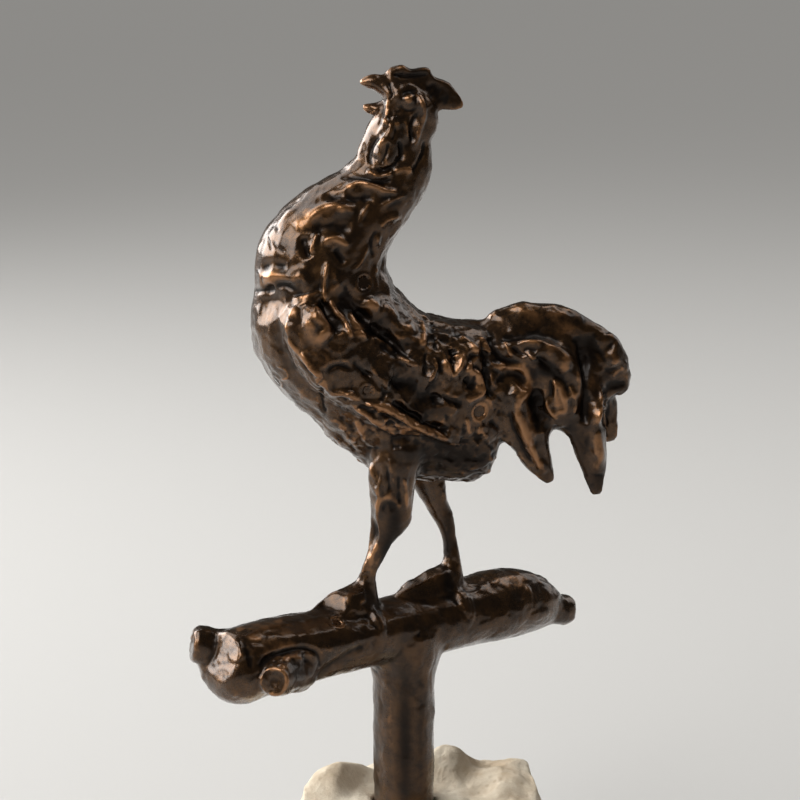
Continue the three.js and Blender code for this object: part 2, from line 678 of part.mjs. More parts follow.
// Assembly: each piece is cut by its grown neighbours, so the brazing gap is the same all round

const pieces = {};

const branchSkin = makeBranchSkin(0);
const branchGrown = makeBranchSkin(JOINT_GAP);
const trunkGrown = makeTrunk(JOINT_GAP);
const headGrown = makeHeadSkin(JOINT_GAP);
const trunk = makeTrunk(0);
const core = makeCore(-bodyWall);

// Pins and plugs take their outer ends from the surface that they are chased flush with
const proudTrunk = makeTrunk(PIN_PROUD);
const neckPin = (grow) => flankBar(NECK_PIN, -1, PIN_RADIUS + grow);
const breastPlug = (grow) => flankBar(BREAST_PLUG, -1, PLUG_RADIUS + grow);
const tailPin = (grow) => flankBar(TAIL_PIN, -1, PIN_RADIUS + grow);
const wingRivet = (hand, grow) => flankBar(WING_RIVET, hand, RIVET_RADIUS + grow);
const wingSkin = (hand, grow) => raise(limb(WING, hand, { rings: 14, sides: 11, grow }));

const plumesGrown = plumeList.map(({ rows, hand }) => makePlume(rows, hand, JOINT_GAP));
const spigot = makeTailSpigot(0);
const spigotGrown = makeTailSpigot(JOINT_GAP);

const hands = { left: -1, right: 1 };
const legs = {
  left: { rows: LEFT_LEG, hand: -1 },
  right: { rows: RIGHT_LEG, hand: 1 },
};

pieces.felt_pad = makeFelt();
pieces.stone_base = makeStone();
pieces.threaded_stud = makeStud();
pieces.washer = makeWasher();
pieces.hex_nut = makeNut();

const postTenon = (grow) => {
  const foot = upright(0, 0, seatLevel + POST_LENGTH / 2);
  const top = upright(0, 0, branchLevel + POST_TENON_REACH + grow);
  return bar(foot, top, POST_TENON_RADIUS + grow, 20);
};
const socketTop = upright(0, 0, studTop + JOINT_GAP);
const studSocket = bar(upright(0, 0, stoneFoot), socketTop, STUD_RADIUS + JOINT_GAP, 20);
pieces.post = cutBy(makePostSkin(0), [branchGrown]).add(postTenon(0)).subtract(studSocket);

const branchPlug = (grow) => {
  const roll = THREE.MathUtils.degToRad(BRANCH_PLUG.roll);
  const at = (radius) => onBranch(BRANCH_PLUG.along, -radius * Math.sin(roll), radius * Math.cos(roll));
  return bar(at(BRANCH_RADIUS - PLUG_DEPTH - grow), at(BRANCH_RADIUS + PLUG_DEPTH), PLUG_RADIUS + grow);
};
const dowels = Object.values(legs).map(({ rows, hand }) => footDowel(rows, hand, JOINT_GAP));
pieces.perch_branch = cutBy(branchSkin, [postTenon(JOINT_GAP), branchPlug(JOINT_GAP), ...dowels]);
pieces.branch_core_plug = branchPlug(0).intersect(makeBranchSkin(PIN_PROUD));

const bodyBlank = belowSeam(trunk, -JOINT_GAP / 2);
const collar = belowSeam(makeTrunk(-NECK_WALL - JOINT_GAP), COLLAR_HEIGHT);
const coreBelow = belowSeam(core, COLLAR_HEIGHT + 1);
const pegSockets = Object.values(legs).map(({ rows, hand }) => legPeg(rows, hand, JOINT_GAP));
pieces.body_shell = cutBy(bodyBlank.add(collar), [
  coreBelow,
  spigotGrown,
  ...pegSockets,
  ...plumesGrown,
  neckPin(JOINT_GAP),
  breastPlug(JOINT_GAP),
  tailPin(JOINT_GAP),
  wingRivet(-1, JOINT_GAP),
  wingRivet(1, JOINT_GAP),
]);

const socket = belowSeam(makeTrunk(-NECK_WALL), COLLAR_HEIGHT + JOINT_GAP);
const neckBlank = cutBy(aboveSeam(trunk, JOINT_GAP / 2), [socket, neckPin(JOINT_GAP)]);
pieces.neck_and_head = neckBlank.add(makeHeadSkin(0));

pieces.neck_joint_pin = mainBody(neckPin(0).intersect(proudTrunk));
pieces.breast_core_plug = mainBody(breastPlug(0).intersect(proudTrunk));
pieces.comb = makeComb(headGrown, trunkGrown);

for (const [side, hand] of Object.entries(hands)) {
  const wattle = raise(limb(WATTLE, hand, { rings: 10, sides: LIMB_SIDES }));
  pieces[`${side}_wattle`] = cutBy(wattle, [headGrown, trunkGrown]);
  pieces[`${side}_wing`] = cutBy(wingSkin(hand, 0), [trunkGrown, wingRivet(hand, JOINT_GAP)]);
  const rivetSeat = wingSkin(hand, PIN_PROUD).add(trunk);
  pieces[`${side}_wing_rivet`] = mainBody(wingRivet(hand, 0).intersect(rivetSeat));
  const { rows } = legs[side];
  const alongStart = rows.at(-1)[0] / Math.cos(branchTurn);
  const leg = makeLeg(rows, hand, alongStart, trunkGrown, branchGrown);
  pieces[`${side}_leg`] = cutBy(leg.add(legPeg(rows, hand, 0)), [footDowel(rows, hand, JOINT_GAP)]);
  pieces[`${side}_foot_dowel`] = footDowel(rows, hand, 0);
}

const tailCore = raise(skin(profileSections(TAIL_CORE), { rings: 10, sides: 14, fullness: 2.6 }));
pieces.tail_core = cutBy(tailCore.subtract(trunkGrown).add(spigot), [tailPin(JOINT_GAP), ...plumesGrown]);
pieces.tail_joint_pin = mainBody(tailPin(0).intersect(proudTrunk));
plumeList.forEach(({ name, rows, hand }, order) => {
  const earlier = plumesGrown.slice(0, order);
  pieces[name] = cutBy(makePlume(rows, hand, 0), earlier);
});

// Finishes

const bronze = new THREE.MeshStandardMaterial({ color: 0x3a2a20, roughness: 0.3, metalness: 0.9 });
const finishes = {
  felt_pad: new THREE.MeshStandardMaterial({ color: 0x2b2f2a, roughness: 1, metalness: 0 }),
  stone_base: new THREE.MeshStandardMaterial({ color: 0xd8cfbf, roughness: 0.85, metalness: 0 }),
  steel: new THREE.MeshStandardMaterial({ color: 0xb4b6b8, roughness: 0.4, metalness: 1 }),
};
const steelPieces = ["threaded_stud", "washer", "hex_nut"];

const rooster = new THREE.Group();
rooster.name = "bronze_rooster";
for (const [name, solid] of Object.entries(pieces)) {
  const finish = steelPieces.includes(name) ? finishes.steel : (finishes[name] ?? bronze);
  const mesh = new THREE.Mesh(geometryOf(solid), finish);
  mesh.name = name;
  rooster.add(mesh);
}

export default rooster;
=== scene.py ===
# %% [markdown]
# # A bronze rooster on its perch
# The solids of this figure were drawn as CAD pieces: body, neck, wings, legs, plumes, perch and base.
# Here they get their looks. The bronze was modelled in wax by hand, so its surface is all dabs, ridges
# and tool marks, and the joints between its castings were chased away. So the bronze pieces are fused
# into one skin, the skin is worked like wax, and then it is cut along the old joints again.

# %% Load the frame
import json
import math

import bmesh
import bpy
import numpy as np
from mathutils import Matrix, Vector, kdtree, noise
from mathutils.bvhtree import BVHTree

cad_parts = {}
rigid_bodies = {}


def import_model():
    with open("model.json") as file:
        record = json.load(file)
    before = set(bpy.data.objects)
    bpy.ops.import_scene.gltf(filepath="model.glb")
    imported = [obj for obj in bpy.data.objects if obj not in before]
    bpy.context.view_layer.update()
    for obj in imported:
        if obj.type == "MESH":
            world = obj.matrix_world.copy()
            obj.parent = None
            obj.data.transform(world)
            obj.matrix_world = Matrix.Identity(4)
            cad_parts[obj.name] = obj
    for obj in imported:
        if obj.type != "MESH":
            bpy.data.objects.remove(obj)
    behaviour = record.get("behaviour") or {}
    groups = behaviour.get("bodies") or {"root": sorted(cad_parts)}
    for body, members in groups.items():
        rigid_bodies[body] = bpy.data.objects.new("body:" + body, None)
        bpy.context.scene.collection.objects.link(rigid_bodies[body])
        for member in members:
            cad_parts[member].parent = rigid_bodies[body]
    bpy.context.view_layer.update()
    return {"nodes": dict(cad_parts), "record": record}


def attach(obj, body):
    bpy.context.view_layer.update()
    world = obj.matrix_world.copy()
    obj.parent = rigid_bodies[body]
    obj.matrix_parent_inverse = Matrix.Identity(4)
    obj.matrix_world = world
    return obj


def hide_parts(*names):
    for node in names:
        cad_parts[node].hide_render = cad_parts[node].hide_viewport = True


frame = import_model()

MM = 0.001
nodes = frame["nodes"]
scene = bpy.context.scene
print("CAD nodes:", len(nodes))

# %% [markdown]
# ## Camera
# The photograph was taken with a long lens from the rooster's left, a little in front and a little above.
# The camera could be placed by hand, but the wax is later worked in picture coordinates too, so
# its eye, its target and its field are written down once and used for both.

# %% Camera at the photograph's angle
EYE = np.array([-155.1, -873.4, 364.8])
TARGET = np.array([1.4, 14.2, 156.8])
FIELD = 222.4  # width of the picture at the target
PICTURE = 800  # pixels

distance = np.linalg.norm(TARGET - EYE)
forward = (TARGET - EYE) / distance
right = np.cross(forward, (0, 0, 1))
right /= np.linalg.norm(right)
upward = np.cross(right, forward)


def add(name, data):
    """A new object in the scene."""
    thing = bpy.data.objects.new(name, data)
    scene.collection.objects.link(thing)
    return thing


camera = add("photo_camera", bpy.data.cameras.new("photo_camera"))
camera.data.angle = 2 * math.atan(FIELD / 2 / distance)
camera.location = EYE * MM
camera.rotation_euler = Vector(forward).to_track_quat("-Z", "Y").to_euler()
scene.camera = camera
print("camera", round(distance), "mm away, field", FIELD, "mm")


def in_picture(points):
    """Picture coordinates of points in millimetres, and their depth."""
    from_eye = points - EYE
    depth = from_eye @ forward
    pixels = PICTURE / FIELD * distance / depth
    across = PICTURE / 2 + from_eye @ right * pixels
    down = PICTURE / 2 - from_eye @ upward * pixels
    return np.stack([across, down], axis=1), depth


# %% [markdown]
# ## Shader maths
# A material is a graph of nodes. Written out link by link it is hard to read, so one small class
# wraps a socket: Python's operators on it add Math nodes, and `node` adds any other node.

# %% A socket that Python can calculate with
class Wire:
    def __init__(self, tree, socket=None):
        self.tree = tree
        self.socket = socket

    def node(self, kind, settings=None, inputs=None, output=0):
        made = self.tree.nodes.new(kind)
        for name, value in (settings or {}).items():
            setattr(made, name, value)
        for name, value in (inputs or {}).items():
            if isinstance(value, Wire):
                self.tree.links.new(value.socket, made.inputs[name])
            else:
                made.inputs[name].default_value = value
        return Wire(self.tree, made.outputs[output])

    def math(self, operation, *values):
        return self.node("ShaderNodeMath", {"operation": operation}, dict(enumerate(values)))

    def mix(self, factor, low, high):
        colours = {"Factor": factor, 6: low, 7: high}
        return self.node("ShaderNodeMix", {"data_type": "RGBA"}, colours, output=2)

    def between(self, low, high):
        limits = {"Value": self, "From Min": low, "From Max": high}
        return self.node("ShaderNodeMapRange", {"interpolation_type": "SMOOTHSTEP"}, limits)

    def __add__(self, other):
        return self.math("ADD", self, other)

    def __sub__(self, other):
        return self.math("SUBTRACT", self, other)

    def __rsub__(self, other):
        return self.math("SUBTRACT", other, self)

    def __mul__(self, other):
        return self.math("MULTIPLY", self, other)

    __radd__ = __add__
    __rmul__ = __mul__


def new_material(name):
    """For a new material: its graph, its object coordinates, and a function that ends it in a shader."""
    material = bpy.data.materials.new(name)
    material.use_nodes = True
    material.node_tree.nodes.clear()
    graph = Wire(material.node_tree)

    def finish(**inputs):
        named = {key.replace("_", " "): value for key, value in inputs.items()}
        shader = graph.node("ShaderNodeBsdfPrincipled", inputs=named)
        out = material.node_tree.nodes.new("ShaderNodeOutputMaterial")
        material.node_tree.links.new(shader.socket, out.inputs["Surface"])
        return material

    return graph, graph.node("ShaderNodeTexCoord", output="Object"), finish


def noise_at(place, scale, detail, roughness=0.5, distortion=0.0, kind="FBM"):
    """A noise texture over object coordinates."""
    inputs = {"Scale": scale, "Detail": detail, "Roughness": roughness, "Distortion": distortion}
    return place.node("ShaderNodeTexNoise", {"noise_type": kind}, {"Vector": place, **inputs})


def bump(height, strength, distance):
    """A bump of a height that is counted in a distance in metres."""
    inputs = {"Height": height, "Strength": strength, "Distance": distance}
    return height.node("ShaderNodeBump", inputs=inputs)


print("shader class ready")

# %% [markdown]
# ## Studio
# Dark bronze shows what it mirrors, so the lamps are large. A window at the rooster's breast side draws
# the long bright highlights of the photograph. A grid in front of it holds its light together, so that the
# floor beside it stays even. A soft sky over the camera's left shoulder lights the floor to its far end,
# and three weak panels keep the back and the top from going black.

# %% Lamps and room
MIDDLE = Vector((0, 0, 0.16))  # of the figure, in metres
NO_GRID = 180  # degrees over which a bare panel spreads its light


def aimed(name, lamp, place):
    """Put a lamp at a place and turn it to the middle of the figure."""
    holder = add(name, lamp)
    holder.location = place
    holder.rotation_euler = (MIDDLE - Vector(place)).to_track_quat("-Z", "Y").to_euler()


def softbox(name, place, width, height, watts, spread=NO_GRID):
    """A flat panel of light that faces the figure."""
    lamp = bpy.data.lights.new(name, "AREA")
    lamp.spread = math.radians(spread)
    lamp.shape = "RECTANGLE"
    lamp.size = width
    lamp.size_y = height
    lamp.energy = watts
    aimed(name, lamp, place)


softbox("window_breast_side", (-0.86, 0.52, 0.50), 1.2, 0.62, 8.2, spread=120)
softbox("panel_up_behind", (-0.52, 0.60, 0.86), 0.8, 0.8, 3.6)
softbox("panel_overhead", (0.42, 0.10, 0.80), 0.40, 0.40, 1.0)
softbox("panel_back_right", (0.80, 0.60, 0.55), 0.5, 0.7, 1.0)
sky = bpy.data.lights.new("sky_front_left", "SUN")
sky.angle = math.radians(46)
sky.energy = 2.1
aimed("sky_front_left", sky, (-0.60, -0.45, 0.82))

world = bpy.data.worlds.new("dim_room")
world.use_nodes = True
room = world.node_tree.nodes["Background"].inputs
room["Color"].default_value = (1.0, 0.94, 0.85, 1)
room["Strength"].default_value = 0.06
scene.world = world
scene.view_settings.view_transform = "Standard"

# %% [markdown]
# The figure stands on pale paper. One large square is enough, because the camera looks down on it and
# its far edge lies above the picture. It belongs to the stage and not to the figure.

# %% Floor
FLOOR_HALF = 12  # metres
plate = bmesh.new()
bmesh.ops.create_grid(plate, x_segments=1, y_segments=1, size=FLOOR_HALF)
floor = add("floor", bpy.data.meshes.new("floor"))
plate.to_mesh(floor.data)
plate.free()
paper = bpy.data.materials.new("pale_paper")
paper.use_nodes = True
finish_of_paper = paper.node_tree.nodes["Principled BSDF"].inputs
finish_of_paper["Base Color"].default_value = (0.53, 0.52, 0.50, 1)
finish_of_paper["Roughness"].default_value = 0.9
floor.data.materials.append(paper)
print("floor:", 2 * FLOOR_HALF, "m wide")

# %% [markdown]
# ## Bronze
# The patina is nearly black where wax and pigment stayed, and copper where a cloth rubbed the raised
# forms. Both come mostly from the shape itself: the wax work below stores on every point how far it stands
# out and how deep it lies, and the material reads these two. A few spots add painted highlights to the
# first and painted shade to the second.

# %% Bronze material
DARK_PATINA = (0.034, 0.0160, 0.0055, 1)
BROWN_PATINA = (0.090, 0.041, 0.0120, 1)
RUBBED_COPPER_AND_SHEEN = (0.31, 0.145, 0.055, 1)
BLACK_WAX_AND_SHADE = (0.006, 0.004, 0.003, 1)

graph, place, finish = new_material("patinated_bronze")
# the first attribute holds wear and a few painted highlights, the second black patina and painted shade
rub = graph.node("ShaderNodeAttribute", {"attribute_name": "rub"}, output="Fac")
hollow = graph.node("ShaderNodeAttribute", {"attribute_name": "hollow"}, output="Fac")
cloud = noise_at(place, 140, 5, 0.6)
mottle = noise_at(place, 330, 4, 0.55)
speck = noise_at(place, 1100, 3, 0.6)
brushed = noise_at(place, 420, 4, 0.6, kind="RIDGED_MULTIFRACTAL")
worn_and_sheen = (rub + (cloud - 0.5) * 0.6 + (mottle - 0.5) * 0.7 + (speck - 0.5) * 0.2).between(0.25, 0.85)
blotch = (cloud * 0.55 + mottle * 0.35 + speck * 0.1).between(0.38, 0.62)
bronze_colour = graph.mix(worn_and_sheen, graph.mix(blotch, DARK_PATINA, BROWN_PATINA), RUBBED_COPPER_AND_SHEEN)
# black where the patina is deep, and painted shade where the spots put it
bronze_colour = graph.mix(hollow.between(0.1, 1.0) * 0.9, bronze_colour, BLACK_WAX_AND_SHADE)
bronze = finish(
    Base_Color=bronze_colour,
    Metallic=0.85,
    Roughness=0.28 + worn_and_sheen * 0.06 + hollow * 0.2 + (speck - 0.5) * 0.14,
    Normal=bump(speck * 0.5 + mottle + brushed * 0.25, 0.5, 0.0003),
    Coat_Weight=0.75 - hollow * 0.6,
    Coat_Roughness=0.17,
)
print("bronze nodes:", len(bronze.node_tree.nodes))

# %% [markdown]
# ## Stone, felt and steel
# The stone is pale limestone with a rough, grainy break. The felt under it and the steel bolt
# inside are hidden, so they get plain but true finishes.

# %% Stone, felt and steel materials
graph, place, finish = new_material("pale_limestone")
cloud = noise_at(place, 45, 6, 0.65)
grit = noise_at(place, 600, 4, 0.7)
pits = graph.node("ShaderNodeTexVoronoi", inputs={"Vector": place, "Scale": 260})
chalk = graph.mix(cloud.between(0.3, 0.7), (0.46, 0.35, 0.23, 1), (0.78, 0.70, 0.56, 1))
chalk = graph.mix((1 - pits).between(0.75, 0.95) * 0.5, chalk, (0.36, 0.27, 0.18, 1))
rough_break = bump(grit + cloud + pits, 0.5, 0.0008)
stone = finish(Base_Color=chalk, Roughness=0.8 + (grit - 0.5) * 0.2, Normal=rough_break)

graph, place, finish = new_material("wool_felt")
fibre = noise_at(place, 1500, 6, distortion=2.0)
wool = graph.mix(fibre.between(0.3, 0.7), (0.012, 0.014, 0.012, 1), (0.03, 0.034, 0.03, 1))
felt = finish(Base_Color=wool, Roughness=1.0, Normal=bump(fibre, 0.6, 0.0003), Sheen_Weight=0.4)

graph, place, finish = new_material("zinc_plated_steel")
spangle = noise_at(place, 400, 3)
zinc = graph.mix(spangle, (0.45, 0.45, 0.46, 1), (0.6, 0.6, 0.61, 1))
steel = finish(Base_Color=zinc, Roughness=0.3 + spangle * 0.2, Metallic=1.0)
print("materials:", bronze.name, stone.name, felt.name, steel.name)

# %% [markdown]
# ## One skin of wax
# All bronze castings are joined and remeshed with small voxels. Each is first pushed out a little, so
# that the 0.3 mm brazing gaps close. Wings and plumes are pushed out further and drawn back after the
# remeshing, which fills the narrow gaps behind them as the modeller's wax did. The small pins stay as
# CAD pieces.

# %% Join the castings
PINS = ["branch_core_plug", "breast_core_plug", "neck_joint_pin", "tail_joint_pin", "left_wing_rivet",
        "right_wing_rivet", "left_foot_dowel", "right_foot_dowel"]
PUSH = {"tail": 1.4, "wing": 1.2, "wattle": 0.6}
LEAST_PUSH = 0.3
SAME_POINT = 0.002  # points of the CAD's loose triangles that lie this close are one
slot_of = {row["node"]: row["material_slot"] for row in frame["record"]["subparts"]}
castings = [name for name in sorted(nodes) if slot_of[name] == "bronze" and name not in PINS]


def by_name(values, name, otherwise):
    """The value whose key is a part of the name."""
    return next((value for word, value in values.items() if word in name), otherwise)


def to_millimetres(shape):
    bmesh.ops.scale(shape, vec=(1 / MM, 1 / MM, 1 / MM), verts=shape.verts)


push = np.array([by_name(PUSH, name, LEAST_PUSH) for name in castings])
joined = bmesh.new()
owner = joined.faces.layers.int.new("owner")
for number, name in enumerate(castings):
    known = len(joined.faces)
    joined.from_mesh(nodes[name].data)
    joined.faces.ensure_lookup_table()
    for face in joined.faces[known:]:
        face[owner] = number
to_millimetres(joined)
bmesh.ops.remove_doubles(joined, verts=joined.verts, dist=SAME_POINT)
joined.normal_update()
joined.faces.ensure_lookup_table()
cad_tree = BVHTree.FromBMesh(joined)
cad_owner = np.array([face[owner] for face in joined.faces])
for vert in joined.verts:
    vert.co += vert.normal * push[vert.link_faces[0][owner]].item()
print("castings:", len(castings), "CAD faces:", len(joined.faces))

# %% [markdown]
# Blender's Remesh modifier lays a grid of voxels over the joined shape and skins it anew. A voxel of 0.44 mm
# is about a pixel and a half of the picture, so the skin can carry every tool mark that shows.

# %% Fuse the castings into one skin
VOXEL = 0.44
SKIN_SMOOTHING = 8


def remeshed(shape, voxel, smoothing):
    """A bmesh remeshed with voxels and smoothed, as a mesh."""
    blank = add("blank", bpy.data.meshes.new("blank"))
    shape.to_mesh(blank.data)
    shape.free()
    voxels = blank.modifiers.new("voxels", "REMESH")
    voxels.mode = "VOXEL"
    voxels.voxel_size = voxel
    smooth = blank.modifiers.new("smooth", "SMOOTH")
    smooth.iterations = smoothing
    bpy.context.view_layer.update()
    made = bpy.data.meshes.new_from_object(blank.evaluated_get(bpy.context.evaluated_depsgraph_get()))
    bpy.data.objects.remove(blank)
    return made


skin = remeshed(joined, VOXEL, SKIN_SMOOTHING)
print("skin:", len(skin.vertices), "points")

# %% [markdown]
# The body is a hollow casting, so the remeshed skin has an inner wall as well. Points that are joined by
# edges form islands, and only the largest island is the outer skin.

# %% Keep the outer skin
def read(collection, name, width, kind=np.float64):
    """A property of all items of a collection, as rows of numbers."""
    values = np.empty(len(collection) * width, dtype=np.float32 if kind is np.float64 else np.int32)
    collection.foreach_get(name, values)
    return values.reshape(-1, width).astype(kind)


def islands(pairs, count):
    """A number for each point that is the same for all points joined by pairs."""
    mark = np.arange(count)
    while True:
        before = mark.copy()
        low = np.minimum(mark[pairs[:, 0]], mark[pairs[:, 1]])
        np.minimum.at(mark, pairs[:, 0], low)
        np.minimum.at(mark, pairs[:, 1], low)
        mark = mark[mark]
        if (mark == before).all():
            return mark


mark = islands(read(skin.edges, "vertices", 2, np.int64), len(skin.vertices))
largest = np.bincount(mark).argmax()
trimmed = bmesh.new()
trimmed.from_mesh(skin)
inner = [vert for vert, island in zip(trimmed.verts, mark) if island != largest]
bmesh.ops.delete(trimmed, geom=inner, context="VERTS")
trimmed.to_mesh(skin)
trimmed.free()
points = read(skin.vertices, "co", 3)
edges = read(skin.edges, "vertices", 2, np.int64)
print("islands:", len(np.unique(mark)), "outer points:", len(points))

# %% [markdown]
# Every point of the skin belongs to the casting whose CAD surface is nearest. A vote among neighbours,
# repeated a few times, makes the borders between castings smooth.

# %% Say which casting each point belongs to
VOTES = 8


def neighbour_sum(values):
    """For every point, the sum of its neighbours' values."""
    first, second = edges[:, 0], edges[:, 1]
    count = len(points)
    return np.bincount(first, values[second], count) + np.bincount(second, values[first], count)


degree = neighbour_sum(np.ones(len(points)))
part = np.array([cad_owner[cad_tree.find_nearest(point)[2]] for point in points])
for _ in range(VOTES):
    claims = [part == number for number in range(len(castings))]
    part = np.stack([neighbour_sum(claim) + 0.5 * claim for claim in claims]).argmax(axis=0)
for number, name in enumerate(castings):
    print(name, int((part == number).sum()), "points")

# %% [markdown]
# Now wings and plumes are drawn back by what they were pushed out too far. The legs, the tail and the perch
# are plain round shapes, so their skin is evened a little more than the body's.

# %% Draw the skin back
def on(*names):
    """A mask of the points of some castings."""
    return np.isin(part, [castings.index(name) for name in names])


def softened(values, times):
    """Values spread over the skin by averaging with neighbours."""
    for _ in range(times):
        values = 0.5 * values + 0.5 * neighbour_sum(values) / degree
    return values


def softened_rows(rows, times):
    """Points or directions spread over the skin in the same way."""
    return np.stack([softened(rows[:, axis], times) for axis in range(3)], axis=1)


def ease(share, times):
    """Move points towards the middle of their neighbours, each by its own share, several times."""
    for _ in range(times):
        middles = np.stack([neighbour_sum(points[:, axis]) / degree for axis in range(3)], axis=1)
        points[:] += share[:, None] * (middles - points)


def current_normals():
    """Put the points into the mesh and read the normals there."""
    skin.vertices.foreach_set("co", points.astype(np.float32).ravel())
    skin.update()
    return read(skin.vertex_normals, "vector", 3)


normals = current_normals()
extra = softened(push[part] - LEAST_PUSH / 2, 12)
points -= extra[:, None] * softened_rows(normals, 10)
ROUND = ("tail", "left_leg", "right_leg", "perch", "post")
rounds = on(*[name for name in castings if name.startswith(ROUND)])
ease(0.5 * softened(rounds.astype(float), 4), 16)
normals = current_normals()
print("drawn back by up to", round(extra.max(), 2), "mm")

# %% [markdown]
# Real joints are filled and chased, so the skin runs over them in a soft hollow. Points near a joint move
# towards the middle of their neighbours a few times. The feet only stand on the branch and stay crisp.

# %% Chase the joints
standing = on("perch_branch")
first, second = edges.T
crossing = (part[first] != part[second]) & ~standing[first] & ~standing[second]
joint = np.zeros(len(points))
joint[edges[crossing].ravel()] = 1
joint = np.clip(4 * softened(joint, 12), 0, 1)
ease(0.6 * joint, 36)
normals = current_normals()
print("points near a joint:", int((joint > 0.5).sum()))

# %% [markdown]
# ## Working the wax: lumps
# The body and the wings were worked roughly, the neck, the legs and the plumes more smoothly, and the perch
# most smoothly of all. A gain on every point says how much of the work it takes. The first work is a soft
# unevenness of the whole skin, from a noise of lumps.

# %% Gain and lumps
SMOOTHER = {"neck": 0.5, "comb": 0.5, "wattle": 0.4, "leg": 0.35, "tail": 0.45}
ROUGH = 0.9
PERCH_GAIN = 0.4
LUMP_SIZE = 12
LUMP_HEIGHT = 0.8
gain = np.array([by_name(SMOOTHER, name, ROUGH) for name in castings])[part]
gain = gain * np.clip((points[:, 0] + 45) / 30, 0.55, 1)  # the breast is smoother than the saddle
gain = np.where(on("perch_branch", "post"), PERCH_GAIN, softened(gain, 10))
lumps = np.array([noise.fractal(Vector(p) / LUMP_SIZE, 1.0, 2.0, 4) for p in points])
points += (LUMP_HEIGHT * gain * lumps)[:, None] * normals
normals = current_normals()
print("lumps from", lumps.min().round(2), "to", lumps.max().round(2))

# %% [markdown]
# The pins are CAD pieces, and the skin has to meet them. So the work grows calm within a few millimetres
# of a pin.

# %% Calm around the pins
PIN_REACH = 3.0
pins = bmesh.new()
for name in PINS:
    pins.from_mesh(nodes[name].data)
to_millimetres(pins)
pin_tree = BVHTree.FromBMesh(pins)
pins.free()
gaps = [pin_tree.find_nearest(p, PIN_REACH)[3] for p in points]
near_pin = np.array([gap is not None for gap in gaps])
pin_gap = np.array([gap or 0 for gap in gaps])
calm = np.where(near_pin, np.clip(pin_gap / PIN_REACH, 0, 1) ** 2, 1)
gain = gain * calm
print("points near a pin:", int(near_pin.sum()))

# %% [markdown]
# ## Working the wax: dabs
# The modeller laid the wax on in dabs and pressed each one flat with a spatula. A dab is placed at a
# random point of the skin: points under it are drawn to a plane of its own, most in the middle and
# not at all at its rim. Later dabs lie over earlier ones, so their edges overlap as in real wax.

# %% How a dab is pressed
FLOW = {"perch_branch": (0.891, 0.454, 0), "post": (0, 0, 1), "left_leg": (-0.2, 0, 1),
        "right_leg": (0.2, 0, 1), "neck_and_head": (0.5, 0, 0.85), "comb": (1, 0, 0)}
FEATHER_FLOW = (0.72, 0, -0.69)
DAB_RIM = 0.35  # share of a dab that is its soft rim
DAB_REACH = 2.5  # no point moves that lies further above or below
PRESSURE = 0.75
chance = np.random.default_rng(12)
tree = kdtree.KDTree(len(points))
for i, p in enumerate(points):
    tree.insert(p, i)
tree.balance()


def press(centre, up, along, length, width, depth):
    """Press an oval dab flat on a plane that faces up and lies a depth below its centre."""
    along = along - (along @ up) * up
    along /= np.linalg.norm(along) + 1e-6
    across = np.cross(up, along)
    near = np.array([hit[1] for hit in tree.find_range(centre, 1.2 * length)])
    offset = points[near] - centre
    reach = np.sqrt((offset @ along / length) ** 2 + (offset @ across / width) ** 2)
    height = offset @ up
    facing = (normals[near] @ up > 0.35) * (np.abs(height) < DAB_REACH)
    touched = np.clip((1 - reach) / DAB_RIM, 0, 1) * facing
    touched = touched * touched * (3 - 2 * touched)
    points[near] -= (touched * gain[near] * PRESSURE * (height + depth))[:, None] * up


def press_many(middles, lengths, widths, turns, depths):
    """Press a dab at each of some points, turned from the flow of its casting by a random angle."""
    for middle in middles:
        length, width = chance.uniform(*lengths), chance.uniform(*widths)
        turn, depth = chance.normal(0, turns), chance.uniform(*depths)
        up = normals[middle].copy()
        flow = np.array(FLOW.get(castings[part[middle]], FEATHER_FLOW))
        along = flow * math.cos(turn) + np.cross(up, flow) * math.sin(turn)
        press(points[middle].copy(), up, along, length, width, depth)


print("points that can be pressed:", int((gain > 0).sum()))

# %% Dabs of wax
DABS = 1100
press_many(chance.integers(0, len(points), DABS), (3.0, 7.0), (1.8, 3.6), 0.6, (-0.4, 0.2))
normals = current_normals()
print("dabs pressed:", DABS)

# %% [markdown]
# Then came the point of the tool. Narrow strokes along the feathers roughen the flanks and the saddle, while
# breast, neck and plumes stay smooth.

# %% Strokes of the tool
STROKES = 300
flanks = (np.abs(normals[:, 1]) > 0.45) & (points[:, 0] > 4)
feathered = np.flatnonzero((gain > 0.75) & on("body_shell", "left_wing", "right_wing") & flanks)
press_many(chance.choice(feathered, STROKES), (2.0, 5.0), (0.7, 1.5), 0.4, (-0.4, 0.3))
normals = current_normals()
print("strokes of the tool:", STROKES)

# %% [markdown]
# Over all of that comes the skin of the casting. The fine sand of the mould and the wire brush leave
# shallow creases a few millimetres apart, which break up the edges of the highlights.

# %% Fine creases
CREASE_SPACING = 4.0
CREASE_HEIGHT = 0.11
ridged = noise.ridged_multi_fractal
creases = np.array([ridged(Vector(p) / CREASE_SPACING, 0.9, 2.1, 3, 1.0, 2.0) for p in points])
creases = np.clip((creases - creases.mean()) / creases.std(), -2, 2)
points += (CREASE_HEIGHT * (gain / gain.max()) ** 2 * softened(creases, 1))[:, None] * normals
normals = current_normals()
print("creases:", round(2 * CREASE_HEIGHT, 2), "mm high,", CREASE_SPACING, "mm apart")

# %% [markdown]
# ## Working the wax: drawn marks
# The marks that give the figure its look are drawn over the photograph's frame, in pixels: ridges,
# grooves and steps along a path, each with a half width in pixels and a height in millimetres. A mark
# reaches the points that the camera sees there. The other side, which no one sees in the photograph, is
# modelled like the near side, so the body's marks are drawn once more on the mirrored points.

# %% How a mark is drawn
CELL = 2  # pixels
BEHIND = 2.5  # a point this far behind the nearest one in its cell still counts as seen
EDGE_ON = -0.08  # skin turned further away than this takes no mark
TAPER = 0.18  # share of a mark's length over which each end runs out
REACH = 6  # half widths beyond which a mark does nothing


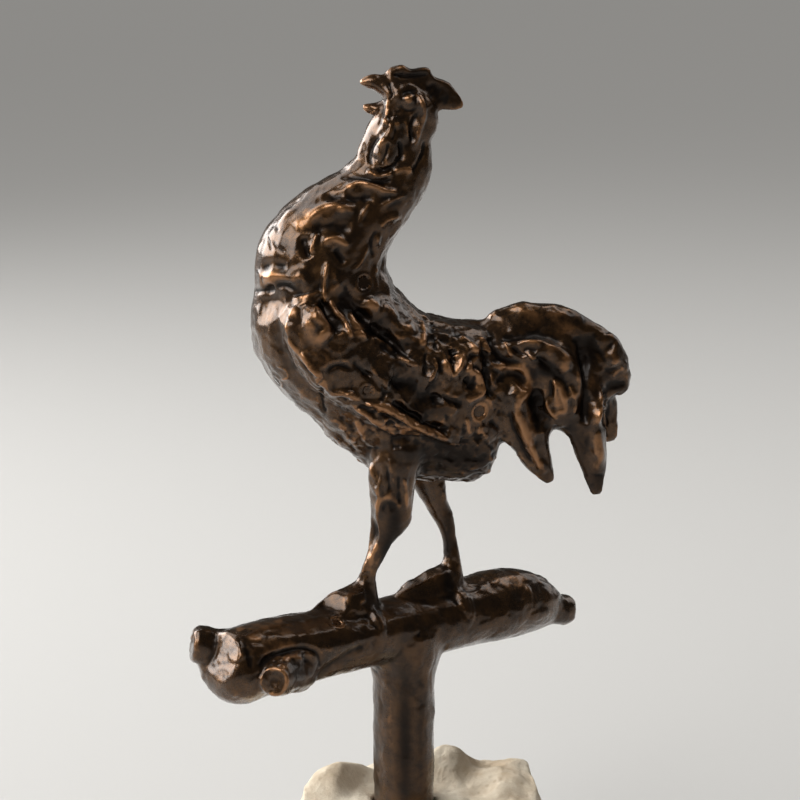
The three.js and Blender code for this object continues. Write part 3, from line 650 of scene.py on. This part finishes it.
def seen(places, facing):
    """Picture coordinates of the points, and which of them the camera sees."""
    pixels, depth = in_picture(places)
    across = PICTURE // CELL
    cells = np.clip(pixels // CELL, 0, across - 1).astype(int)
    cell = cells[:, 1] * across + cells[:, 0]
    nearest = np.full(across ** 2, np.inf)
    np.minimum.at(nearest, cell, depth)
    return pixels, (depth < nearest[cell] + BEHIND) & (facing @ forward < EDGE_ON)


def curve_through(knots):
    """Points along a smooth curve through the knots."""
    knots = [np.array(knot, dtype=float) for knot in knots]
    ends = [2 * knots[0] - knots[1]] + knots + [2 * knots[-1] - knots[-2]]
    line = []
    for a, b, c, d in zip(ends, ends[1:], ends[2:], ends[3:]):
        for t in np.linspace(0, 1, 6, endpoint=False):
            bend = 2 * a - 5 * b + 4 * c - d + t * (3 * (b - c) + d - a)
            line.append(b + 0.5 * t * (c - a + t * bend))
    return np.array(line + [knots[-1]])


def distance_to(line, pixels):
    """For each pixel: signed distance to the line, positive on one hand, and place along it, 0 to 1."""
    start, run = line[:-1], np.diff(line, axis=0)
    size = (run ** 2).sum(axis=1)
    offset = pixels[:, None] - start
    along = np.clip((offset * run).sum(axis=2) / size, 0, 1)
    gap = offset - along[:, :, None] * run
    apart = (gap ** 2).sum(axis=2)
    nearest = apart.argmin(axis=1)
    rows = np.arange(len(pixels))
    side = run[nearest, 1] * offset[rows, nearest, 0] - run[nearest, 0] * offset[rows, nearest, 1]
    lengths = np.concatenate([[0], np.cumsum(np.sqrt(size))])
    place = (lengths[nearest] + along[rows, nearest] * np.sqrt(size[nearest])) / lengths[-1]
    return np.sqrt(apart[rows, nearest]) * np.where(side < 0, -1, 1), place


def ridge(apart):
    """Profile of a ridge or groove at a distance that is counted in half widths."""
    return np.exp(-apart ** 2)


def step(apart):
    """Profile of a step that rises at the line and dies away slowly behind it."""
    return np.exp(-np.maximum(apart, 0) / 5) / (1 + np.exp(-4 * apart))


def mark_heights(pixels, width, height, knots, profile=ridge):
    """How far a mark lifts the points at these pixels."""
    apart, place = distance_to(curve_through(knots), pixels)
    taper = np.clip(np.minimum(place, 1 - place) / TAPER, 0.0, 1) ** 0.7
    return height * taper * profile(apart / width)


def draw(marks, where, places, facing):
    """Draw marks on the points that are seen and lie in a mask."""
    pixels, front = seen(places, facing)
    front &= where
    moved = np.zeros(len(places))
    for mark in marks:
        width, _, knots = mark[:3]
        low = np.min(knots, axis=0) - REACH * width
        high = np.max(knots, axis=0) + REACH * width
        near = np.flatnonzero(front & (pixels > low).all(axis=1) & (pixels < high).all(axis=1))
        if len(near):
            moved[near] += mark_heights(pixels[near], *mark)
    return moved


print("marks reach what is seen:", int(seen(points, normals)[1].sum()), "points")

# %% [markdown]
# Each row below is one touch of the tool: its half width in pixels, its height in millimetres, which is
# below zero for a groove, and the pixels that it runs through. A row that ends in `step` is a step. The rows
# go from the neck over wing and saddle to the tail, and then to the head. Those of breast, near leg and
# branch come last and are drawn on the near side only.

# %% The marks
MARKS = [
    # neck: collar folds, hackle dabs and the cape's front edge
    (3.5, 0.6, [(346, 188), (360, 183), (372, 185), (384, 191), (402, 192)]),
    (2.5, 0.35, [(378, 208), (392, 200), (407, 194)]),
    (6, -0.6, [(322, 196), (345, 197), (375, 200)]),
    (7, 0.7, [(296, 230), (316, 214), (336, 207), (354, 213)]),
    (7, -0.6, [(312, 228), (332, 226), (352, 228)]),
    (4, 0.45, [(322, 241), (336, 239), (350, 246)]),
    (5, -0.7, [(303, 236), (305, 247), (310, 258)]),
    (2.5, 0.4, [(318, 232), (313, 245), (312, 256)]),
    (4, -0.5, [(334, 248), (340, 256), (345, 264)]),
    (2, 0.35, [(371, 202), (363, 214), (359, 226)]),
    (3, 0.5, [(402, 216), (386, 220), (378, 232), (376, 247)]),
    (3, -0.5, [(382, 226), (373, 240), (372, 258)]),
    (2, 0.35, [(369, 244), (361, 261), (352, 272)]),
    (2, 0.35, [(377, 266), (374, 277), (377, 288)]),
    (2.2, 0.8, [(328, 262), (325, 278), (324, 292), (325, 304)]),
    (2.2, 0.6, [(330, 300), (336, 312), (345, 322), (352, 338)]),
    (2, 0.45, [(292, 300), (308, 296), (322, 291)]),
    (5, 0.5, [(392, 296), (374, 299), (352, 296), (340, 283), (333, 262)], step),
    (7, 0.6, [(286, 262), (298, 272), (306, 284), (310, 294)]),
    # wing: shoulder knob, the deep valley behind it, front edge, feather tiers and the free tip
    (12, 1.5, [(304, 296), (310, 310), (318, 324), (332, 336)]),
    (5, -1.4, [(320, 298), (325, 310), (332, 322), (342, 332)]),
    (10, -1.3, [(338, 286), (352, 304), (372, 322), (392, 342), (412, 360)]),
    (9, 0.6, [(364, 300), (386, 314), (408, 332), (424, 348)]),
    (9, -0.7, [(392, 376), (412, 386), (430, 396), (446, 400)]),
    (3, 0.9, [(306, 300), (293, 309), (287, 326), (291, 344), (301, 358), (313, 372), (323, 387), (340, 398)],
     step),
    (2, 0.4, [(301, 352), (311, 364), (321, 377)]),
    (5, 0.5, [(350, 312), (358, 325), (366, 341)]),
    (4, -0.6, [(345, 300), (362, 316), (380, 334), (398, 350), (415, 362)]),
    (3, 0.5, [(372, 336), (388, 345), (404, 358), (418, 367)]),
    (2.5, -0.4, [(326, 372), (334, 366), (344, 366), (352, 370)]),
    (3, 0.9, [(328, 394), (345, 393), (370, 403), (395, 414), (420, 428), (440, 436), (453, 440)]),
    (2, 0.5, [(375, 400), (391, 407), (406, 416), (424, 428)]),
    (2.5, 0.6, [(350, 404), (366, 413), (382, 425), (400, 436)]),
    (2.5, -0.6, [(374, 409), (392, 419), (410, 428)]),
    (4.5, -1.0, [(392, 402), (412, 413), (430, 424), (450, 431)]),
    (3, -0.5, [(352, 362), (366, 374), (380, 388), (390, 395)]),
    (2.5, -0.5, [(321, 384), (322, 400), (326, 416)]),
    (3, 0.6, [(357, 442), (352, 432), (341, 421), (325, 415)], step),
    (2.5, 0.5, [(356, 420), (361, 430), (366, 441)]),
    (1.2, 0.3, [(276, 366), (285, 369), (288, 377), (279, 379), (276, 373)]),
    # saddle: loops of feather ends
    (2.2, 0.5, [(428, 350), (435, 362), (434, 372), (428, 382)]),
    (3, -0.6, [(425, 352), (427, 364), (424, 376)]),
    (3, 0.7, [(442, 354), (447, 367), (453, 375), (460, 366), (464, 351)]),
    (3, -0.8, [(452, 348), (453, 357), (453, 364)]),
    (2.5, 0.7, [(459, 337), (469, 343), (479, 353)]),
    (1.8, 0.4, [(479, 355), (471, 364), (465, 374)]),
    (3.5, 0.7, [(466, 369), (477, 374), (483, 386), (478, 397), (465, 399)]),
    (4, -0.6, [(464, 378), (471, 384), (468, 391)]),
    (2.5, 0.4, [(420, 320), (424, 333), (423, 346)]),
    (3, -0.5, [(432, 322), (434, 338), (438, 352)]),
    (3, 0.5, [(478, 338), (486, 345), (492, 353)]),
    (3, -0.5, [(430, 395), (448, 400), (462, 405)]),
    (2.5, 0.4, [(468, 416), (468, 427), (470, 436)]),
    (2.5, 0.4, [(479, 416), (480, 427), (478, 436)]),
    (4, 0.5, [(484, 398), (490, 405), (493, 410)]),
    (3.5, -0.7, [(482, 340), (487, 358), (486, 380), (492, 398)]),
    # tail: coverts, plumes and the valleys between them
    (4.5, 0.7, [(491, 367), (506, 365), (519, 367), (527, 376), (527, 388), (521, 399), (516, 404)]),
    (5, -0.6, [(497, 378), (506, 384), (512, 392)]),
    (3.5, -0.8, [(489, 338), (496, 352), (508, 361), (522, 364)]),
    (3, 0.6, [(504, 341), (508, 349), (512, 357)]),
    (3, 0.6, [(525, 347), (530, 353), (535, 360)]),
    (3, -0.6, [(512, 346), (518, 352), (524, 356)]),
    (4, 0.8, [(516, 402), (520, 420), (529, 443), (539, 463), (546, 474)]),
    (10, 0.9, [(510, 376), (516, 406), (530, 444)]),
    (3, -0.6, [(509, 410), (514, 430), (524, 450), (535, 466)]),
    (7, -1.2, [(536, 388), (537, 408), (542, 432)]),
    (3, 0.7, [(546, 376), (545, 390), (549, 408), (558, 420)]),
    (3, 0.6, [(567, 382), (573, 394), (575, 406), (570, 420)]),
    (3, -0.4, [(556, 384), (560, 400), (564, 412)]),
    (10, 0.9, [(554, 380), (559, 400), (564, 416)]),
    (4, -0.8, [(503, 340), (520, 335), (542, 335), (562, 342)]),
    (9, 1.4, [(518, 344), (545, 347), (563, 361), (575, 380), (581, 402)]),
    (6, -1.1, [(534, 354), (550, 366), (564, 380), (573, 394)]),
    (5, -1.4, [(577, 336), (584, 360), (586, 390), (585, 424)]),
    (7, -0.5, [(590, 332), (595, 350), (599, 370)]),
    (9, 1.1, [(605, 334), (610, 350), (612, 368)]),
    (3, 0.5, [(611, 378), (617, 371), (624, 366)]),
    (5, -0.5, [(606, 388), (616, 386), (628, 382)]),
    (7, 1.5, [(593, 376), (595, 412), (596, 442), (600, 474)]),
    (2, 0.4, [(600, 386), (602, 405), (598, 424)]),
    (3, -0.7, [(604, 386), (606, 405), (605, 430)]),
    # head: eye, cheek, throat and wattle
    (2.5, 0.15, [(399, 93), (404, 87), (411, 86), (418, 91), (422, 101), (420, 111)]),
    (1.8, -0.15, [(402, 100), (403, 94), (409, 91), (415, 95), (416, 104)]),
    (3.5, 0.4, [(408, 96), (409, 100), (410, 104)]),
    (2.2, -0.3, [(399, 104), (404, 109), (411, 111), (417, 108)]),
    (2, -0.4, [(391, 118), (384, 131), (373, 143), (369, 156), (372, 166)]),
    (5, 0.4, [(385, 136), (379, 148), (376, 158)]),
    (2, -0.4, [(389, 142), (386, 154), (380, 165)]),
    (2, -0.5, [(373, 168), (384, 170), (395, 165), (399, 156)]),
    (2.5, 0.4, [(389, 98), (388, 112), (384, 126), (377, 138)]),
    (2.5, -0.4, [(391, 122), (396, 130), (392, 142)]),
    (2, 0.35, [(404, 120), (407, 128), (408, 138)]),
    (2.5, 0.45, [(421, 98), (424, 114), (419, 130), (413, 150)]),
    (2.5, -0.45, [(417, 112), (411, 128), (413, 142)]),
    (2.5, -0.5, [(400, 140), (402, 152), (400, 163)]),
    (2.5, -0.5, [(425, 140), (423, 155), (412, 172)]),
    (3, 0.5, [(366, 171), (380, 177), (392, 172)]),
    (3, 0.4, [(394, 172), (404, 169), (413, 171)]),
    (3, -0.5, [(340, 178), (356, 177), (372, 181), (392, 181)]),
    (2, -0.4, [(392, 74), (410, 76), (428, 75)]),
    (1.5, -0.35, [(389, 82), (392, 92), (390, 101)]),
]
NEAR_MARKS = [
    # breast: folds of the crop and scratches of the wire brush
    (3, -0.4, [(252, 291), (268, 289), (284, 285), (297, 291)]),
    (3.5, -0.4, [(263, 290), (268, 288), (273, 288)]),
    (6, -0.5, [(258, 272), (272, 266), (288, 268), (302, 262)]),
    (6, 0.4, [(262, 279), (276, 275), (290, 277), (300, 284)]),
    (1, -0.25, [(275, 224), (278, 231)]),
    (1, -0.25, [(267, 237), (270, 245), (272, 251)]),
    (1, -0.25, [(272, 240), (278, 248), (285, 252)]),
    # near leg: thigh feathers, hock and shin
    (3, 0.5, [(371, 462), (374, 480), (377, 496)]),
    (2.5, 0.5, [(378, 470), (379, 492), (378, 516), (376, 540), (369, 566)]),
    (3, 0.3, [(374, 508), (381, 500), (388, 497), (396, 501), (402, 510)]),
    (3.5, -0.3, [(382, 512), (388, 504), (394, 512)]),
    (2.5, -0.5, [(386, 462), (388, 478), (390, 492)]),
    (2.5, 0.4, [(404, 478), (406, 495), (406, 510)]),
    (2.5, -0.4, [(398, 474), (399, 490), (399, 505)]),
    # branch: flats, the cut stub and its hollow
    (4, -0.5, [(316, 678), (335, 664), (352, 652), (380, 640)]),
    (1.8, 0.5, [(266, 691), (261, 682), (265, 672), (274, 669), (283, 672), (287, 681), (284, 690)]),
    (1.8, 0.4, [(286, 686), (280, 693), (270, 693), (263, 687)]),
    (6, -0.15, [(270, 679), (274, 682), (278, 684)]),
    (3, -0.7, [(258, 668), (270, 657), (288, 650), (306, 648), (318, 655), (320, 670)]),
    (7, 0.8, [(276, 663), (290, 659), (304, 659)]),
    (4, -0.6, [(242, 640), (248, 655), (252, 672)]),
]
print("marks on both sides:", len(MARKS), "on the near side only:", len(NEAR_MARKS))

# %% [markdown]
# Broad marks come first and move the points along an evened direction, so that the finer ones can lie on
# them. Smoothing takes some of each mark's height, so all are drawn with emphasis, and unevenly, as by hand.

# %% Draw the marks
BROAD = 5  # pixels
MIRROR = np.array([1, -1, 1])
emphasis = softened(np.where(rounds, 1.35, 1.8), 8)
uneven = np.clip([0.95 + 0.6 * noise.noise(Vector(p) / 3.5) for p in points], 0.5, 1.3)
on_body = ~on("perch_branch", "post", "left_leg", "right_leg")
anywhere = np.ones(len(points), dtype=bool)
carved = np.zeros(len(points))
for broad, evening in ((True, 12), (False, 1)):
    both_sides = [row for row in MARKS if (row[0] >= BROAD) == broad]
    near_only = [row for row in NEAR_MARKS if (row[0] >= BROAD) == broad]
    near_side = draw(both_sides + near_only, anywhere, points, normals)
    far_side = draw(both_sides, on_body & (points[:, 1] > 0), points * MIRROR, normals * MIRROR)
    drawn = uneven * np.where(np.abs(near_side) > np.abs(far_side), near_side, far_side)
    heights = emphasis * calm * softened(drawn, 1)
    points += heights[:, None] * softened_rows(normals, evening)
    carved += drawn
    normals = current_normals()
    lowest, highest = drawn.min().round(2), drawn.max().round(2)
    print("marks:", len(both_sides + near_only), "from", lowest, "to", highest, "mm")

# %% [markdown]
# ## Filed flats
# The branch's end was sawn and filed, and the file left flats on foot, shin, plumes and breast that catch
# the light. A file only takes away, so points above the plane of a flat go down to it and the others stay.

# %% Filed flats
DEEPEST_CUT = 3
SOFT_EDGE = 1.6  # the larger, the narrower the soft edge of a flat
FLAT_SMOOTHING = 20
FLATS = [
    # pixel in the middle, half width and half height in pixels, direction that it faces, and depth of the cut
    ((222, 664), (30, 46), (-0.80, -0.50, 0.335), 1.8),
    ((343, 600), (40, 17), (-0.42, -0.70, 0.56), 1.0),
    ((372, 550), (7, 34), (-0.85, -0.44, 0.30), 0.9),
    ((376, 484), (8, 18), (-0.80, -0.50, 0.34), 0.8),
    ((612, 354), (14, 22), (-0.36, -0.80, 0.48), 0.9),
    ((597, 412), (8, 34), (-0.38, -0.80, 0.46), 0.6),
    ((548, 398), (6, 22), (-0.55, -0.72, 0.42), 0.8),
    ((540, 350), (26, 9), (-0.36, -0.70, 0.60), 0.7),
    ((272, 312), (17, 25), (-0.80, -0.48, 0.36), 0.8),
    ((305, 316), (10, 14), (-0.78, -0.49, 0.39), 0.6),
]
pixels, front = seen(points, normals)
for pixel, size, facing, depth in FLATS:
    facing = np.array(facing) / np.linalg.norm(facing)
    inside = ((pixels - pixel) / size) ** 2
    inside = np.where(front, np.clip(SOFT_EDGE * (1 - inside.sum(axis=1)), 0, 1), 0)
    middle = np.where(front, np.linalg.norm(pixels - pixel, axis=1), np.inf).argmin()
    above = np.clip((points - points[middle]) @ facing + depth, 0, DEEPEST_CUT)
    points -= softened(above * inside, FLAT_SMOOTHING)[:, None] * facing
    print("flat at", pixel, int((above * inside > 0.05).sum()), "points filed")
normals = current_normals()

# %% [markdown]
# ## Pins set in
# The pins were driven in and filed flush, so the rim of each hole is brought up to its pin. The blows threw
# up a fine ring of metal around each one, which shows as a small circle.

# %% Close the skin on the pins
SNAP = 0.6
RIM_GAP, RIM_WIDTH, RIM_HEIGHT = 0.9, 0.4, 0.2
for i in np.flatnonzero(near_pin):
    spot = pin_tree.find_nearest(points[i], SNAP)[0]
    if spot:
        points[i] = spot
normals = current_normals()
rims = np.where(near_pin, np.exp(-((pin_gap - RIM_GAP) / RIM_WIDTH) ** 2), 0)
points += RIM_HEIGHT * rims[:, None] * normals
normals = current_normals()
print("points on the rings:", int((rims > 0.5).sum()))

# %% [markdown]
# ## Patina from the shape, and painted light and shade
# Rubbing reaches what stands out and misses what lies deep. Some places were rubbed or blackened more by
# hand, and other spots are painted highlights and painted shade. They are soft ovals over the photograph's
# frame.

# %% Where it was rubbed and blackened, and where light and shade are painted
RUBBED_AND_SHEEN = [
    # where the cloth went through to the metal, and painted highlights: the eye's glint, sheen on shin, leg
    # and foot, glints on the branch and a bright band down the post; middle, half width and half height in
    # pixels, and how much
    (328, 210, 28, 8, 0.5), (308, 224, 16, 8, 0.5), (372, 186, 26, 5, 0.5), (336, 243, 16, 6, 0.45),
    (272, 276, 16, 8, 0.5), (330, 285, 7, 18, 0.4), (318, 350, 28, 20, 0.4), (358, 326, 9, 15, 0.6),
    (388, 346, 18, 9, 0.35), (420, 428, 34, 6, 0.6), (385, 409, 26, 5, 0.4), (380, 428, 20, 5, 0.45),
    (453, 364, 13, 13, 0.6), (478, 386, 9, 17, 0.6), (424, 335, 7, 17, 0.45), (487, 347, 10, 9, 0.45),
    (472, 425, 8, 12, 0.35), (489, 405, 7, 7, 0.45), (513, 369, 24, 7, 0.6), (527, 386, 8, 17, 0.6),
    (535, 316, 38, 13, 0.5), (568, 330, 15, 11, 0.5), (530, 440, 10, 32, 0.5), (562, 395, 9, 25, 0.45),
    (621, 372, 9, 7, 0.4), (408, 97, 3, 4, 0.4), (400, 112, 13, 9, 0.45), (404, 171, 13, 6, 0.45),
    (255, 625, 34, 6, 0.4), (282, 655, 22, 6, 0.5), (505, 583, 44, 10, 0.4), (390, 705, 9, 45, 0.35),
    (386, 502, 16, 10, 0.4), (371, 556, 5, 26, 0.35), (408, 498, 4, 18, 0.35), (300, 395, 22, 12, 0.3),
    (360, 430, 10, 14, 0.35), (345, 415, 16, 8, 0.3),
    (256, 638, 11, 4, 0.7), (285, 645, 15, 5, 0.5), (240, 629, 4, 2, 0.8), (279, 621, 4, 2, 0.8),
    (330, 650, 12, 8, 0.35), (345, 600, 16, 7, 0.35), (367, 607, 6, 5, 0.4), (274, 669, 12, 3, 0.5),
    (286, 682, 3, 9, 0.5), (383, 614, 3, 14, 0.45),
]
BLACKENED_AND_SHADED = [
    # where the patina stayed black and the valleys are darker, and painted shade: under the belly and the
    # wing tip, down the shaded sides of leg and post, and darker reflections on the branch; in the same order
    (575, 318, 16, 8, 0.6), (548, 368, 14, 9, 0.7), (536, 410, 7, 22, 0.7), (586, 385, 5, 40, 0.6),
    (616, 386, 13, 7, 0.7), (606, 420, 4, 25, 0.5), (490, 362, 9, 34, 0.5), (580, 345, 9, 26, 0.6),
    (545, 372, 16, 8, 0.5), (355, 302, 15, 10, 0.5), (378, 322, 15, 10, 0.5), (402, 346, 15, 10, 0.5),
    (425, 412, 26, 8, 0.6), (446, 402, 18, 10, 0.4), (365, 226, 20, 12, 0.4), (395, 202, 16, 9, 0.4),
    (334, 311, 8, 13, 0.6), (425, 455, 34, 18, 0.7), (470, 458, 30, 18, 0.8),
    (440, 335, 22, 10, 0.4), (350, 260, 14, 12, 0.3), (412, 72, 24, 6, 0.7), (444, 95, 16, 13, 0.8),
    (260, 655, 10, 16, 0.5), (300, 672, 12, 12, 0.5), (330, 628, 50, 10, 0.4), (430, 610, 50, 9, 0.4),
    (405, 740, 9, 90, 0.9), (376, 740, 4, 90, 0.6), (421, 740, 4, 90, 0.5),
    (396, 524, 10, 22, 0.9), (387, 556, 8, 24, 0.9), (394, 498, 4, 16, 0.5), (447, 545, 7, 44, 0.8),
    (450, 588, 8, 14, 0.7), (376, 592, 7, 14, 0.6), (598, 482, 14, 18, 0.7), (546, 474, 8, 12, 0.6),
    (572, 436, 12, 16, 0.6), (582, 458, 7, 24, 0.6), (592, 350, 8, 22, 0.5), (612, 342, 14, 12, 0.4),
    (545, 345, 22, 7, 0.4), (500, 340, 10, 9, 0.4),
]


def painted(spots, places, facing):
    """The sum of soft oval spots in picture coordinates, on the points that the camera sees there."""
    pixels, front = seen(places, facing)
    amount = np.zeros(len(places))
    for x, y, wide, high, strength in spots:
        amount += strength * np.exp(-(((pixels - (x, y)) / (wide, high)) ** 2).sum(axis=1))
    return amount * front


def on_both_sides(spots):
    """Spots painted on the near side and, on the body, on the mirrored far side."""
    near = painted(spots, points, normals)
    far = painted(spots, points * MIRROR, normals * MIRROR) * on_body
    return softened(np.maximum(near, far), 3)


rubbed_and_sheen = on_both_sides(RUBBED_AND_SHEEN)
blackened_and_shade = on_both_sides(BLACKENED_AND_SHADED)
print("rubbed spots:", len(RUBBED_AND_SHEEN), "blackened spots:", len(BLACKENED_AND_SHADED))

# %% [markdown]
# The rest comes from the shape. The distance between the skin and a smoothed copy of itself says how far
# each point stands out. A much smoothed copy shows the forms, a little smoothed one the tool marks.

# %% Rub and hollow
def stands_out(times):
    """How far each point stands out from a smoothed copy of the skin."""
    return ((points - softened_rows(points, times)) * normals).sum(axis=1)


LONG_STREAK = (2.5, 2.5, 25)  # the post was rubbed up and down
forms = stands_out(45)
marks = stands_out(8)
rub_and_sheen_values = 0.6 * np.clip(forms / 1.0 + marks / 0.3, 0, 1) + 0.12 * np.clip(carved / 0.8, 0, 1)
# the spots add rubbing and a few painted highlights
rub_and_sheen_values = np.clip(rub_and_sheen_values + rubbed_and_sheen - 0.05, 0, 1)
streaks = np.array([noise.noise(Vector(p / LONG_STREAK)) for p in points])
rub_and_sheen_values = np.clip(rub_and_sheen_values + np.where(on("post"), 0.5 * streaks - 0.12, 0) + 0.1 * rims, 0, 1)
hollow_and_shade_values = np.clip(-forms / 0.7 - marks / 0.25, 0, 1) + 0.6 * np.clip(-carved / 1.0, 0, 1)
# the spots add black patina, darker valleys and painted shade
hollow_and_shade_values = np.clip(hollow_and_shade_values + blackened_and_shade, 0, 1) * np.where(near_pin, 0.3, 1)
print("rub", rub_and_sheen_values.mean().round(2), "hollow", hollow_and_shade_values.mean().round(2))

# %% [markdown]
# ## Cut along the joints
# The worked skin goes back to being separate castings. Each face gets the number of its casting as a
# material, and Blender separates the skin by material. Every casting is closed where it was cut, and
# it keeps the whole skin's normals, so the joints don't show, as on the chased bronze.

# %% Cut the skin into castings
for name, values in (("rub", rub_and_sheen_values), ("hollow", hollow_and_shade_values)):
    skin.attributes.new(name, "FLOAT", "POINT").data.foreach_set("value", values.astype(np.float32))
skin.attributes.new("skin_normal", "FLOAT_VECTOR", "POINT").data.foreach_set(
    "vector", normals.astype(np.float32).ravel())
corner_parts = np.array([part[list(face.vertices)] for face in skin.polygons])
face_part = np.sort(corner_parts, axis=1)[:, 1]
skin.materials.clear()
for name in castings:
    skin.materials.append(bpy.data.materials.new("joint_" + name))
skin.polygons.foreach_set("material_index", face_part.astype(np.int32))
whole = add("whole", skin)
bpy.context.view_layer.objects.active = whole
whole.select_set(True)
bpy.ops.object.mode_set(mode="EDIT")
bpy.ops.mesh.select_all(action="SELECT")
bpy.ops.mesh.separate(type="MATERIAL")
bpy.ops.object.mode_set(mode="OBJECT")
cut_out = [thing for thing in scene.objects if thing.name.startswith("whole")]
print("pieces cut:", len(cut_out))

# %% [markdown]
# The open rims could be filled straight across, but a rim that runs along a valley would get a lid over
# the valley. So each rim first goes straight in, and a fan of faces to a point deep inside closes it.

# %% Close, scale and dress each casting
FLANGE = 1.2
DEEP = 4.0


def close_inwards(shape):
    """Close every open rim of a piece with a flange and a fan of faces to a point inside the figure."""
    for vert in list(shape.verts):
        open_edges = [edge for edge in vert.link_edges if edge.is_boundary]
        if len(open_edges) > 2:
            bmesh.utils.vert_separate(vert, open_edges)  # two rims that touch in a point
    for start in [edge for edge in shape.edges if edge.is_boundary]:
        if not start.is_boundary:
            continue
        rim = [start]
        for edge in rim:
            beside = [other for vert in edge.verts for other in vert.link_edges]
            rim += [other for other in beside if other.is_boundary and other not in rim]
        verts = list({vert for edge in rim for vert in edge.verts})
        middle = sum((vert.co for vert in verts), Vector()) / len(verts)
        outward = sum((vert.normal for vert in verts), Vector()) / len(verts)
        sunk = {vert: shape.verts.new(vert.co - FLANGE * vert.normal) for vert in verts}
        deep = shape.verts.new(middle - DEEP * outward)
        for loop in [edge.link_loops[0] for edge in rim]:
            near, far = loop.vert, loop.link_loop_next.vert
            shape.faces.new((far, near, sunk[near], sunk[far]))
            shape.faces.new((sunk[far], sunk[near], deep))


for thing in cut_out:
    mesh = thing.data
    casting = mesh.materials[0].name.removeprefix("joint_")
    shape = bmesh.new()
    shape.from_mesh(mesh)
    close_inwards(shape)
    open_edges = sum(not edge.is_manifold for edge in shape.edges)
    bmesh.ops.scale(shape, vec=(MM, MM, MM), verts=shape.verts)
    shape.to_mesh(mesh)
    shape.free()
    mesh.materials.clear()
    mesh.materials.append(bronze)
    mesh.polygons.foreach_set("material_index", np.zeros(len(mesh.polygons), dtype=np.int32))
    mesh.shade_smooth()
    mesh.normals_split_custom_set_from_vertices(read(mesh.attributes["skin_normal"].data, "vector", 3))
    mesh.attributes.remove(mesh.attributes["skin_normal"])
    thing.name = "cast_" + casting
    mesh.name = thing.name
    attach(thing, "root")
    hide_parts(casting)
    print(thing.name, len(mesh.polygons), "faces,", open_edges, "open edges")

# %% [markdown]
# ## Stone base
# The CAD block has the stone's main planes. Remeshing and two sizes of noise break them into the small
# fractures of a hewn stone, and a few lumps make the rim that shows behind the post.

# %% Stone base
STONE_VOXEL = 0.9
STONE_SMOOTHING = 4
SEAT_RADIUS = 15  # the post's seat stays as it is
HEWN_SIZE, HEWN_HEIGHT = 14, 1.5
CHIP_SIZE, CHIP_DEPTH = 7, 1.6
BREAST_SIDE, TAIL_SIDE = -18, 38  # beyond these the block is drawn out and in
LUMPS = [(-22, 11, 9, 6.0), (-12, 15, 8, 6.0), (16, 17, 7, 8.0), (36, 11, 12, 4.5)]  # x, y, radius, height

block = bmesh.new()
block.from_mesh(nodes["stone_base"].data)
to_millimetres(block)
bmesh.ops.remove_doubles(block, verts=block.verts, dist=SAME_POINT)
stone_mesh = remeshed(block, STONE_VOXEL, STONE_SMOOTHING)
stone_points = read(stone_mesh.vertices, "co", 3)
stone_normals = read(stone_mesh.vertex_normals, "vector", 3)
from_post = np.linalg.norm(stone_points[:, :2], axis=1)
bare = np.clip((from_post - SEAT_RADIUS) / 4, 0, 1) * np.clip((stone_points[:, 2] - 2.5) / 2, 0, 1)
hewn = np.array([noise.fractal(Vector(p) / HEWN_SIZE, 1.0, 2.0, 5) for p in stone_points])
chips = np.array([noise.voronoi(Vector(p) / CHIP_SIZE)[0][0] for p in stone_points])
broken = HEWN_HEIGHT * hewn - CHIP_DEPTH * chips + 0.4
stone_points += (broken * bare)[:, None] * stone_normals
side = stone_points[:, 0]
drawn_out = 0.4 * np.minimum(side - BREAST_SIDE, 0) - 0.5 * np.maximum(side - TAIL_SIDE, 0)
stone_points[:, 0] += bare * drawn_out
for x, y, radius, height in LUMPS:
    apart = np.linalg.norm(stone_points[:, :2] - (x, y), axis=1)
    upper = bare * np.clip(2 * stone_normals[:, 2], 0, 1)
    stone_points[:, 2] += height * np.exp(-(apart / radius) ** 2) * upper
stone_mesh.vertices.foreach_set("co", (stone_points * MM).astype(np.float32).ravel())
stone_mesh.update()
stone_mesh.materials.clear()
stone_mesh.materials.append(stone)
stone_mesh.shade_smooth()
stone_piece = add("hewn_stone", stone_mesh)
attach(stone_piece, "root")
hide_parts("stone_base")
print("stone:", len(stone_mesh.polygons), "faces")

# %% [markdown]
# ## Felt
# The felt is a sheet cut a little smaller than the stone and glued on. Its edge is soft, so the CAD
# outline gets a rounded rim.

# %% Felt pad
FELT_ROUNDING = 0.5 * MM
pad = bmesh.new()
pad.from_mesh(nodes["felt_pad"].data)
bmesh.ops.remove_doubles(pad, verts=pad.verts, dist=SAME_POINT * MM)
bmesh.ops.dissolve_limit(pad, angle_limit=0.02, verts=pad.verts, edges=pad.edges)
rim = [edge for edge in pad.edges if abs(edge.verts[0].co.z - edge.verts[1].co.z) < 0.2 * MM]
bmesh.ops.bevel(pad, geom=rim, offset=FELT_ROUNDING, offset_type="OFFSET", affect="EDGES", segments=3,
                profile=0.5, material=-1)
felt_area = sum(face.calc_area() for face in pad.faces if face.normal.z > 0.9)
felt_mesh = bpy.data.meshes.new("felt_sheet")
pad.to_mesh(felt_mesh)
pad.free()
felt_mesh.materials.append(felt)
felt_piece = add("felt_sheet", felt_mesh)
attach(felt_piece, "root")
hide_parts("felt_pad")
print("felt:", round(felt_area * 1e4, 1), "square cm")

# %% [markdown]
# ## Pins and bolt
# The pins and plugs are chased flush, and the bolt sits inside the stone. Their CAD shapes are right, so
# they only get their finishes.

# %% Finishes of the small pieces
for name, node in nodes.items():
    if name in PINS or slot_of[name] == "steel":
        node.data.materials.clear()
        node.data.materials.append(bronze if name in PINS else steel)
print("small pieces dressed:", sum(name in PINS or slot_of[name] == "steel" for name in nodes))
